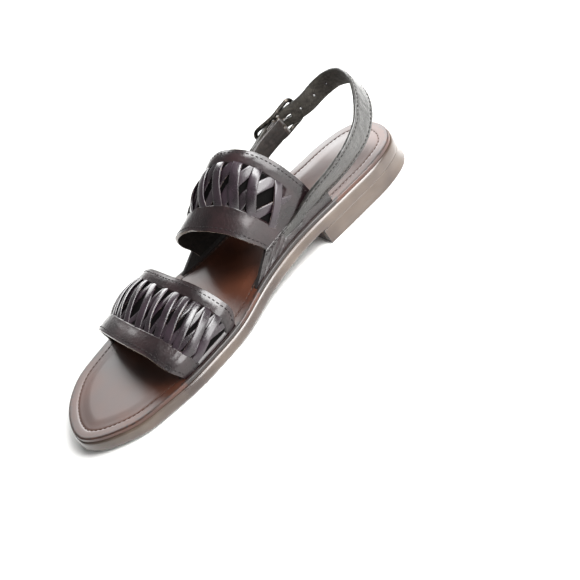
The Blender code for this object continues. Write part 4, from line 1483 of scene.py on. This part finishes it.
@dataclass
class HeelStrap:
    """Strap from the inner quarter round the heel, through the buckle to its tip, with the buckle's own strap.

    Rows of loop: share of the run, then along, across and height as shares of the sole's length, the heel's
    half width and the peak, then the lean in degrees. Rows of course: share of the run, lift in metres and share
    of the width. Rows of creases: share of the run, slant, width, depth in millimetres and middle across the
    strap.
    """

    sole: SoleForm
    width: float = 16.8 * MM
    thick: float = 2.2 * MM
    peak: float = 64.5 * MM
    chape_thick: float = 1.9 * MM
    chape_width: float = 0.94
    chape_return: float = 10 * MM
    buckle: float = 0.742
    pivot_lift: float = 2.3 * MM
    bore: float = 1.4 * MM
    hole: float = 1.8 * MM
    hole_pitch: float = 12.5 * MM
    hole_steps: tuple[int, ...] = (-3, -2, -1, 1)
    prong_half: float = 1.1 * MM
    crossing: float = 5.7 * MM
    crossing_half: float = 4.8 * MM
    crossing_depth: float = 11 * MM
    hole_depth: float = 4 * MM
    crease_reach: float = 0.32
    strap_end: float = 0.872
    groove: float = 0.25 * MM
    groove_at: float = 0.37
    groove_width: float = 0.018
    chape_groove: float = 0.2 * MM
    chape_lift: float = 1.7 * MM
    chape_round: float = 0.3 * MM
    seam_run: tuple[float, float] = (0.10, 0.855)
    sink: float = 0.1 * MM
    stitch: tuple[float, float] = (3.0 * MM, 0.6 * MM)
    loop: Table = (
        (0.000, 0.380, 0.785, 0.426, 0),
        (0.053, 0.332, 0.82, 0.445, -8),
        (0.099, 0.292, 0.86, 0.497, -18),
        (0.138, 0.258, 0.94, 0.557, -24),
        (0.192, 0.210, 1.01, 0.600, -24),
        (0.261, 0.149, 1.04, 0.670, -19),
        (0.325, 0.095, 0.96, 0.755, -6),
        (0.394, 0.047, 0.69, 0.887, 11),
        (0.457, 0.018, 0.28, 0.980, 16),
        (0.505, 0.010, -0.12, 1.000, 17),
        (0.557, 0.021, -0.54, 0.955, 16),
        (0.608, 0.047, -0.85, 0.878, 10),
        (0.665, 0.092, -1.05, 0.800, 6),
        (0.719, 0.139, -1.14, 0.763, 6),
        (0.768, 0.183, -1.17, 0.733, 7),
        (0.821, 0.231, -1.17, 0.701, 8),
        (0.868, 0.271, -1.12, 0.656, 8),
        (0.912, 0.308, -1.05, 0.592, 5),
        (0.953, 0.342, -1.02, 0.527, 2),
        (1.000, 0.383, -1.03, 0.468, 0),
    )
    course: Table = (
        (0.000, 0.0000, 0.34),
        (0.053, 0.0000, 0.56),
        (0.099, 0.0000, 0.84),
        (0.138, 0.0000, 1.00),
        (0.600, 0.0000, 1.00),
        (0.660, 0.0000, 0.98),
        (0.700, 0.0030, 0.96),
        (0.742, 0.0071, 0.96),
        (0.785, 0.0046, 0.95),
        (0.820, 0.0026, 0.94),
        (0.850, 0.0026, 0.90),
        (0.865, 0.0026, 0.66),
        (0.872, 0.0026, 0.36),
    )
    creases: Table = (
        (0.120, 0.030, 0.0035, 0.30, 0.10),
        (0.155, 0.045, 0.0040, 0.35, -0.20),
        (0.182, 0.035, 0.0035, 0.28, 0.15),
        (0.214, 0.050, 0.0045, 0.38, 0.00),
        (0.246, 0.030, 0.0035, 0.30, -0.15),
        (0.270, 0.055, 0.0040, 0.35, 0.20),
        (0.301, 0.040, 0.0045, 0.42, 0.05),
        (0.326, 0.028, 0.0035, 0.34, -0.10),
        (0.352, 0.045, 0.0040, 0.40, 0.15),
        (0.384, 0.025, 0.0035, 0.34, -0.05),
        (0.420, -0.020, 0.0040, 0.30, 0.10),
        (0.560, -0.015, 0.0040, 0.28, 0.00),
        (0.598, 0.025, 0.0045, 0.32, 0.10),
        (0.780, 0.020, 0.0035, 0.25, 0.00),
        (0.905, 0.030, 0.0040, 0.35, 0.00),
        (0.940, 0.040, 0.0045, 0.40, 0.10),
    )

    def middle(self, share: np.ndarray) -> np.ndarray:
        """Middle line of the loop."""
        return self.sole.world(
            spread(self.loop, share, 1) * self.sole.length,
            spread(self.loop, share, 2) * self.sole.heel_half,
            spread(self.loop, share, 3) * self.peak,
        )

    def frame(self, share: np.ndarray) -> tuple[np.ndarray, np.ndarray, np.ndarray, np.ndarray]:
        """Middle line with its along, outward and upward directions, leaned in by the loop's last column.

        Args:
            share: Shares of the loop's run.

        Returns:
            Points, and three unit vectors at each.
        """
        share = np.atleast_1d(np.asarray(share, float))
        centre = self.middle(share)
        step = 0.004
        run = unit(self.middle(np.minimum(share + step, 1.0)) - self.middle(np.maximum(share - step, 0.0)))
        level = unit(np.array([0.0, 0.0, 1.0]) - run * run[:, 2:3])
        outward = np.cross(run, level)
        lean = np.radians(spread(self.loop, share, 4))[:, None]
        return (
            centre,
            run,
            outward * np.cos(lean) + level * np.sin(lean),
            level * np.cos(lean) - outward * np.sin(lean),
        )

    def run(self) -> float:
        """Length of the loop's middle line."""
        centre = self.middle(np.linspace(0.0, 1.0, 200))
        return float(np.linalg.norm(np.diff(centre, axis=0), axis=1).sum())

    def fold(self, share: np.ndarray, across: np.ndarray) -> np.ndarray:
        """Depth of the creases in the outer face: slanted Gaussian troughs that fade along their length.

        Args:
            share: Shares of the loop's run.
            across: Places across the strap, from -0.5 to 0.5.

        Returns:
            The depth, a row for each share and a column for each place across.
        """
        depth = np.zeros((len(share), len(across)))
        for at, slant, wide, deep, centre in self.creases:
            trough = np.exp(-(((share[:, None] - at - slant * across) / wide) ** 2))
            depth += deep * MM * trough * np.exp(-(((across - centre) / self.crease_reach) ** 2))
        return depth

    def ribbon(
        self, piece: Piece, share: np.ndarray, lift: np.ndarray, wide: np.ndarray, thick: float, groove: float
    ) -> None:
        """Adds a strap with rounded edges and a shallow stitch groove near each edge of its outer face.

        Args:
            piece: The piece that takes the strap.
            share: Shares of the loop's run.
            lift: Distance outside the middle line.
            wide: Width at each share.
            thick: Thickness.
            groove: Depth of the stitch grooves.
        """
        centre, _, out, up = self.frame(share)
        # The section, as shares of width and thickness: outer face, right edge, inner face, left edge.
        across = np.array([-0.47, -0.44, -0.40, -0.37, -0.34, -0.2, 0.0, 0.2, 0.34, 0.37, 0.40, 0.44, 0.47])
        dip = groove * np.exp(-(((np.abs(across) - self.groove_at) / self.groove_width) ** 2))
        outer = np.stack([across, 0.5 - dip / thick + 0.03 * (1 - (across / 0.5) ** 2)], axis=1)
        right = np.array([(0.493, 0.30), (0.50, 0.0), (0.493, -0.30), (0.47, -0.5)])
        inner = np.array([(0.2, -0.5), (-0.2, -0.5)])
        profile = np.concatenate([outer, right, inner, right[::-1] * np.array([-1.0, 1.0])])
        sunk = self.fold(share, profile[:, 0]) * (profile[:, 1] > 0.4)
        rim = 0.35 * ((np.abs(profile[:, 0]) > 0.48) & (np.abs(profile[:, 1]) < 0.4))
        ring = (
            up[:, None, :] * (wide[:, None] * profile[:, 0])[..., None]
            + out[:, None, :] * (lift[:, None] - sunk + thick * profile[:, 1])[..., None]
        )
        piece.add_tube(centre[:, None, :] + ring, rim, inside=(profile[:, 1] < -0.45).astype(float))

    def strap(self) -> Piece:
        """The heel strap's ribbon, up to its tip.

        Returns:
            The piece.
        """
        piece = Piece("heel_strap_dressed")
        share = np.unique(np.concatenate([np.linspace(0.0, 0.84, 420), np.linspace(0.84, self.strap_end, 16)]))
        lift = spread(self.course, share, 1)
        wide = spread(self.course, share, 2) * self.width
        self.ribbon(piece, share, lift, wide, self.thick, self.groove)
        return piece

    def chape(self) -> Piece:
        """The buckle's strap: up from the outer quarter, round the middle bar and back on itself.

        Returns:
            The piece.
        """
        piece = Piece("buckle_strap_dressed")
        returned = self.buckle + self.chape_return / self.run()
        layers = ((1.0, 130, 0.0, self.chape_groove), (returned, 14, self.chape_lift, 0.0))
        for end, steps, lift, groove in layers:
            share, flat = np.linspace(self.buckle, end, steps), np.ones(steps)
            wide = self.chape_width * self.width * flat
            self.ribbon(piece, share, lift * flat, wide, self.chape_thick, groove)
        centre, run, out, up = (v[0] for v in self.frame(np.array([self.buckle])))
        axis = centre + self.pivot_lift * out
        angle = np.linspace(0, 2 * math.pi, 36, endpoint=False)
        spoke = np.cos(angle)[:, None] * run + np.sin(angle)[:, None] * out
        half = 0.5 * self.chape_width * self.width
        depths = np.array([self.bore, self.bore + self.chape_thick * 0.8, self.bore + self.chape_thick])
        for low, high in ((-half, -self.prong_half), (self.prong_half, half)):
            across = np.array([low, low, low + self.chape_round, high - self.chape_round, high, high])
            deep = np.concatenate([depths, depths[::-1]])
            rings = axis + across[None, :, None] * up + deep[None, :, None] * spoke[:, None, :]
            piece.add_tube(rings, np.array([0.6, 0.6, 0.2, 0.2, 0.6, 0.6]), closed=True)
        return piece

    def cutters(self) -> list[bpy.types.Object]:
        """Solids of the punched holes and of the long hole that the prong stands in.

        Returns:
            The cutters.
        """
        run = self.run()
        crossing = self.buckle - self.crossing / run
        solids = []
        for k, step in enumerate(self.hole_steps):
            share = np.array([crossing + step * self.hole_pitch / run])
            centre, along, out, up = (v[0] for v in self.frame(share))
            centre = centre + out * spread(self.course, share, 1)[0]
            angle = np.arange(16) * math.pi / 8
            ring = self.hole / 2 * (np.cos(angle)[:, None] * along + np.sin(angle)[:, None] * up)
            rings = np.stack([centre - self.hole_depth * out + ring, centre + self.hole_depth * out + ring])
            solids.append((f"hole_{k}", rings))
        half = self.crossing_half / run
        shares = np.linspace(crossing - half, crossing + half, 5)
        centre, _, out, up = self.frame(shares)
        corners = np.array([(-1, 0), (1, 0), (1, 1), (-1, 1)])
        rings = centre[:, None] + up[:, None] * (self.prong_half * corners[:, 0])[:, None]
        solids.append(("prong_hole", rings + out[:, None] * (self.crossing_depth * corners[:, 1])[:, None]))
        return [cutter(name, rings) for name, rings in solids]

    def seams(self) -> Piece:
        """Stitches in the grooves of the strap's outer face.

        Returns:
            The piece.
        """
        piece = Piece("heel_strap_stitches")
        share = np.linspace(*self.seam_run, 900)
        centre, _, out, up = self.frame(share)
        lift = spread(self.course, share, 1) + self.thick * 0.5
        wide = spread(self.course, share, 2) * self.width
        for side in (-self.groove_at, self.groove_at):
            path = centre + out * (lift - self.sink)[:, None] + up * (side * wide)[:, None]
            add_stitches(piece, path, out, *self.stitch)
        return piece

    def build(self, finishes: Finishes) -> None:
        """Builds the strap, the buckle's strap and their stitches.

        Args:
            finishes: The sandal's finishes.
        """
        strap = self.strap().build(finishes.strap, "upper")
        make_outward(strap.data)
        for solid in self.cutters():
            cut_away(strap, solid)
        chape = self.chape().build(finishes.buckle_strap, "upper")
        make_outward(chape.data)
        self.seams().build(finishes.thread, "upper")


@dataclass
class Buckle:
    """Frame with a middle bar, and the prong that turns on the bar.

    Rows of camber: place along the frame as a share of its length, and the frame's lift there in metres.
    """

    strap: HeelStrap
    length: float = 33 * MM
    bar: float = 2.6 * MM
    side_clearance: float = 0.6 * MM
    rise: float = 0.3 * MM
    corner: float = 3.5 * MM
    pivot: float = 2.2 * MM
    prong: float = 1.6 * MM
    prong_clearance: float = 0.3 * MM
    prong_wrap_degrees: tuple[float, float] = (-250, 80)
    prong_taper: Row = (0.7, 0.35)
    oval: float = 1.25
    camber: Table = ((-0.50, 0.0046), (-0.25, 0.0036), (0.00, 0.0028), (0.25, 0.0046), (0.50, 0.0066))

    def sweep(
        self,
        piece: Piece,
        middle: np.ndarray,
        normal: np.ndarray,
        radius: np.ndarray,
        closed: bool,
        around: int = 14,
        oval: float = 1.0,
    ) -> None:
        """Adds a bar: an oval carried along the middle line.

        Args:
            piece: The piece that takes the bar.
            middle: Points of the middle line.
            normal: Outward direction at each.
            radius: Half the thickness at each.
            closed: Joins the bar's end to its start.
            around: Points round the oval.
            oval: Width over thickness.
        """
        if closed:
            ahead = np.roll(middle, -1, axis=0) - np.roll(middle, 1, axis=0)
        else:
            ahead = np.gradient(middle, axis=0)
        ahead = unit(ahead)
        across = unit(np.cross(ahead, normal))
        upright = np.cross(across, ahead)
        angle = np.arange(around) * 2 * math.pi / around
        ring = oval * np.cos(angle)[:, None] * across[:, None] + np.sin(angle)[:, None] * upright[:, None]
        piece.add_tube(middle[:, None] + radius[:, None, None] * ring, closed=closed)

    def frame(self) -> Piece:
        """The rectangle with round corners, bent along the strap, and its middle bar.

        Returns:
            The piece.
        """
        strap, run = self.strap, self.strap.run()
        half = self.length / 2
        wide = strap.chape_width * strap.width / 2 + self.side_clearance + self.bar / 2
        # Round the frame: a quarter circle at each corner, then points on the straight side to the next.
        track: list[tuple[float, float]] = []
        for turn, (sx, sy) in enumerate(((1, 1), (-1, 1), (-1, -1), (1, -1))):
            for angle in np.linspace(turn, turn + 1, 8) * math.pi / 2:
                x = sx * (half - self.corner) + self.corner * math.cos(angle)
                track.append((x, sy * (wide - self.corner) + self.corner * math.sin(angle)))
            if turn in (0, 2):
                track += [(sx * x * half, sy * wide) for x in np.linspace(0.7, -0.7, 9)]
            else:
                track += [(sx * half, sy * x * (wide - self.corner)) for x in (0.6, 0.2, -0.2, -0.6)]
        x, y = np.array(track).T
        centre, _, out, up = strap.frame(strap.buckle + x / run)
        lift = spread(self.camber, x / self.length, 1)
        middle = centre + up * (y + self.rise)[:, None] + out * lift[:, None]
        piece = Piece("buckle_frame_dressed")
        self.sweep(piece, middle, out, np.full(len(x), self.bar / 2), True, oval=self.oval)
        centre, _, out, up = strap.frame(np.array([strap.buckle]))
        axis = centre[0] + strap.pivot_lift * out[0] + self.rise * up[0]
        reach = np.linspace(-wide, wide, 6)[:, None]
        self.sweep(piece, axis + reach * up[0], np.repeat(out, 6, axis=0), np.full(6, self.pivot / 2), False)
        return piece

    def pin(self) -> Piece:
        """The prong: a ring round the middle bar, then a tapering pin that rests on the heel end of the frame.

        Returns:
            The piece.
        """
        strap, run = self.strap, self.strap.run()
        centre, along, out, _ = (v[0] for v in strap.frame(np.array([strap.buckle])))
        stand = self.prong_clearance + self.prong / 2
        radius = self.pivot / 2 + stand
        angle = np.radians(np.linspace(*self.prong_wrap_degrees, 26))
        spoke = np.sin(angle)[:, None] * out + np.cos(angle)[:, None] * along
        ring = centre + strap.pivot_lift * out + radius * spoke
        tip = float(spread(self.camber, -0.5, 1)) + self.bar / 2 + stand
        part = np.concatenate([np.linspace(0.2, 1.0, 12), [1.05, 1.08]])
        middle, _, away, _ = strap.frame(strap.buckle - part * 0.5 * self.length / run)
        low = strap.pivot_lift + radius
        pin = middle + away * (low + (tip - low) * part)[:, None]
        taper = np.concatenate([np.full(26, 1.0), np.linspace(1.0, 0.85, 12), self.prong_taper])
        girth = taper * self.prong / 2
        piece = Piece("buckle_prong_dressed")
        self.sweep(piece, np.concatenate([ring, pin]), np.concatenate([spoke, away]), girth, False, 12)
        return piece

    def build(self, finishes: Finishes) -> None:
        """Builds the frame and the prong.

        Args:
            finishes: The sandal's finishes.
        """
        for piece, node in ((self.frame(), "buckle_frame"), (self.pin(), "buckle_prong")):
            made = piece.build(finishes.buckle, "buckle", [node])
            make_outward(made.data)


@dataclass
class Studio:
    """Pale floor, soft lights and the camera at the photograph's angle.

    Rows of lamps: name, place in metres, side of the square in metres and power in watts. The world is brighter
    at the horizon than above, which keeps the floor white and the gloss of the leather readable.
    """

    azimuth: float = 71.1
    elevation: float = 35.5
    roll: float = 33.6
    lens: float = 96.1
    eye: tuple[float, float, float] = (806.9 * MM, -358.2 * MM, 581.6 * MM)
    target: tuple[float, float, float] = (0.0, -0.10, 0.03)
    reach: float = 6.0
    floor_colour: str = "#f4f4f2"
    floor_roughness: float = 0.8
    horizon: float = 0.85
    zenith: float = 0.26
    band: float = 0.28
    lamps: tuple[tuple[str, Row, float, float], ...] = (
        ("overhead", (0.62, 0.42, 1.05), 0.7, 24.0),
        ("back", (-1.12, 0.62, 0.80), 1.2, 27.0),
        ("side", (1.15, 0.34, 0.48), 0.8, 17.0),
    )

    def axes(self) -> tuple[Vector, Vector, Vector]:
        """Right, up and forward directions of the camera, from its azimuth, elevation and roll.

        Forward is (-sin a cos e, cos a cos e, -sin e), and the roll turns right and up about it.

        Returns:
            The three directions.
        """
        a, e, r = (math.radians(v) for v in (self.azimuth, self.elevation, self.roll))
        forward = Vector((-math.sin(a) * math.cos(e), math.cos(a) * math.cos(e), -math.sin(e)))
        right = Vector((math.cos(a), math.sin(a), 0.0))
        up = Vector((-math.sin(a) * math.sin(e), math.cos(a) * math.sin(e), math.cos(e)))
        turned = math.cos(r) * right - math.sin(r) * up
        return turned, math.sin(r) * right + math.cos(r) * up, forward

    def camera(self) -> None:
        """Makes the camera."""
        right, up, forward = self.axes()
        camera = bpy.data.cameras.new("camera")
        camera.lens = self.lens
        camera.sensor_width = 36.0
        camera.sensor_fit = "HORIZONTAL"
        camera.clip_end = 50.0
        matrix = Matrix((right, up, -forward)).transposed().to_4x4()
        matrix.translation = Vector(self.eye)
        placed = put("camera", camera)
        placed.matrix_world = matrix
        bpy.context.scene.camera = placed

    def floor(self) -> None:
        """A wide pale floor."""
        mesh = bpy.data.meshes.new("floor")
        corners = [(x * self.reach, y * self.reach, 0) for x, y in ((-1, -1), (1, -1), (1, 1), (-1, 1))]
        mesh.from_pydata(corners, [], [(0, 1, 2, 3)])
        material = bpy.data.materials.new("pale_matt_floor")
        material.use_nodes = True
        shader = material.node_tree.nodes["Principled BSDF"]
        shader.inputs["Base Color"].default_value = linear(self.floor_colour)
        shader.inputs["Roughness"].default_value = self.floor_roughness
        mesh.materials.append(material)
        put("floor", mesh)

    def light(self, name: str, place: Vector, size: float, power: float) -> None:
        """Makes a square soft light aimed at the target.

        Args:
            name: The light's name.
            place: Where it stands.
            size: Side of the square.
            power: Its power in watts.
        """
        lamp = bpy.data.lights.new(name, "AREA")
        lamp.energy = power
        lamp.size = size
        placed = put(name, lamp)
        placed.location = place
        placed.rotation_euler = (Vector(self.target) - place).to_track_quat("-Z", "Y").to_euler()

    def build(self) -> None:
        """Makes the camera, floor, world and lights."""
        self.camera()
        self.floor()
        world = bpy.data.worlds.new("studio")
        world.use_nodes = True
        tree = world.node_tree
        direction = add_node(tree, "ShaderNodeTexCoord").outputs["Generated"]
        height = add_node(tree, "ShaderNodeSeparateXYZ", _0=direction)
        strength = add_node(
            tree,
            "ShaderNodeMapRange",
            {"interpolation_type": "SMOOTHSTEP"},
            Value=height.outputs[2],
            From_Min=0.0,
            From_Max=self.band,
            To_Min=self.horizon,
            To_Max=self.zenith,
        )
        background = tree.nodes["Background"]
        background.inputs[0].default_value = (1.0, 1.0, 1.0, 1.0)
        tree.links.new(strength.outputs[0], background.inputs[1])
        bpy.context.scene.world = world
        bpy.context.scene.view_settings.view_transform = "Standard"
        for name, place, size, power in self.lamps:
            self.light(name, Vector(place), size, power)


def main() -> None:
    """Builds the sandal piece by piece, then the studio."""
    logging.basicConfig(level=logging.INFO, format="%(name)s: %(message)s")
    finishes = Finishes.make()
    sole = SoleForm()
    foot = FootForm(sole)
    front = LacedBand(
        "front_band",
        foot,
        toe_edge=((0.00, 0.759), (0.11, 0.777), (0.26, 0.784), (0.48, 0.794), (0.77, 0.787), (1.00, 0.774)),
        heel_edge=(
            (0.00, 0.597),
            (0.04, 0.587),
            (0.14, 0.588),
            (0.30, 0.599),
            (0.50, 0.615),
            (0.73, 0.615),
            (1.00, 0.602),
        ),
        strips=14,
        strip_width=4.9 * MM,
        bulge=2.6 * MM,
        window=(0.010, 0.97),
    )
    instep = LacedBand(
        "instep_band",
        foot,
        toe_edge=(
            (0.00, 0.425),
            (0.05, 0.433),
            (0.13, 0.452),
            (0.30, 0.480),
            (0.52, 0.509),
            (0.64, 0.523),
            (0.87, 0.520),
            (0.95, 0.505),
            (1.00, 0.498),
        ),
        heel_edge=(
            (0.00, 0.268),
            (0.06, 0.270),
            (0.17, 0.285),
            (0.32, 0.310),
            (0.46, 0.339),
            (0.62, 0.367),
            (0.83, 0.360),
            (0.94, 0.345),
            (1.00, 0.340),
        ),
        strips=9,
        strip_width=6.0 * MM,
        ends=(0.015, 0.985),
        footed=False,
        closed=(0.035, 0.100),
        under_width=1.10,
        seed=8,
    )
    inner = Quarter(
        "inner_quarter",
        foot,
        Side.INNER,
        (
            (0.00, 0.503, 0.432, 1.00),
            (0.30, 0.432, 0.385, 0.97),
            (0.65, 0.340, 0.315, 1.02),
            (0.85, 0.282, 0.276, 1.25),
            (1.00, 0.240, 0.238, 1.45),
        ),
    )
    outer = Quarter(
        "outer_quarter",
        foot,
        Side.OUTER,
        (
            (0.00, 0.553, 0.498, 1.00),
            (0.30, 0.485, 0.450, 0.97),
            (0.65, 0.400, 0.385, 1.02),
            (0.85, 0.345, 0.345, 1.25),
            (1.00, 0.305, 0.310, 1.45),
        ),
    )
    length = sole.length
    feet = [
        ("front_inner", front.heel_edge[0][1] * length, front.toe_edge[0][1] * length, Side.INNER),
        ("front_outer", front.heel_edge[-1][1] * length, front.toe_edge[-1][1] * length, Side.OUTER),
        ("instep_inner", inner.table[-1][1] * length, inner.table[0][1] * length, Side.INNER),
        ("instep_outer", outer.table[-1][1] * length, outer.table[0][1] * length, Side.OUTER),
    ]
    Sole(sole).build(finishes, feet)
    front.build(finishes, ["front_band"])
    instep.build(finishes, ["instep_band_and_heel_strap"])
    inner.build(finishes)
    outer.build(finishes)
    strap = HeelStrap(sole)
    strap.build(finishes)
    Buckle(strap).build(finishes)
    Studio().build()


if __name__ == "__main__":
    main()
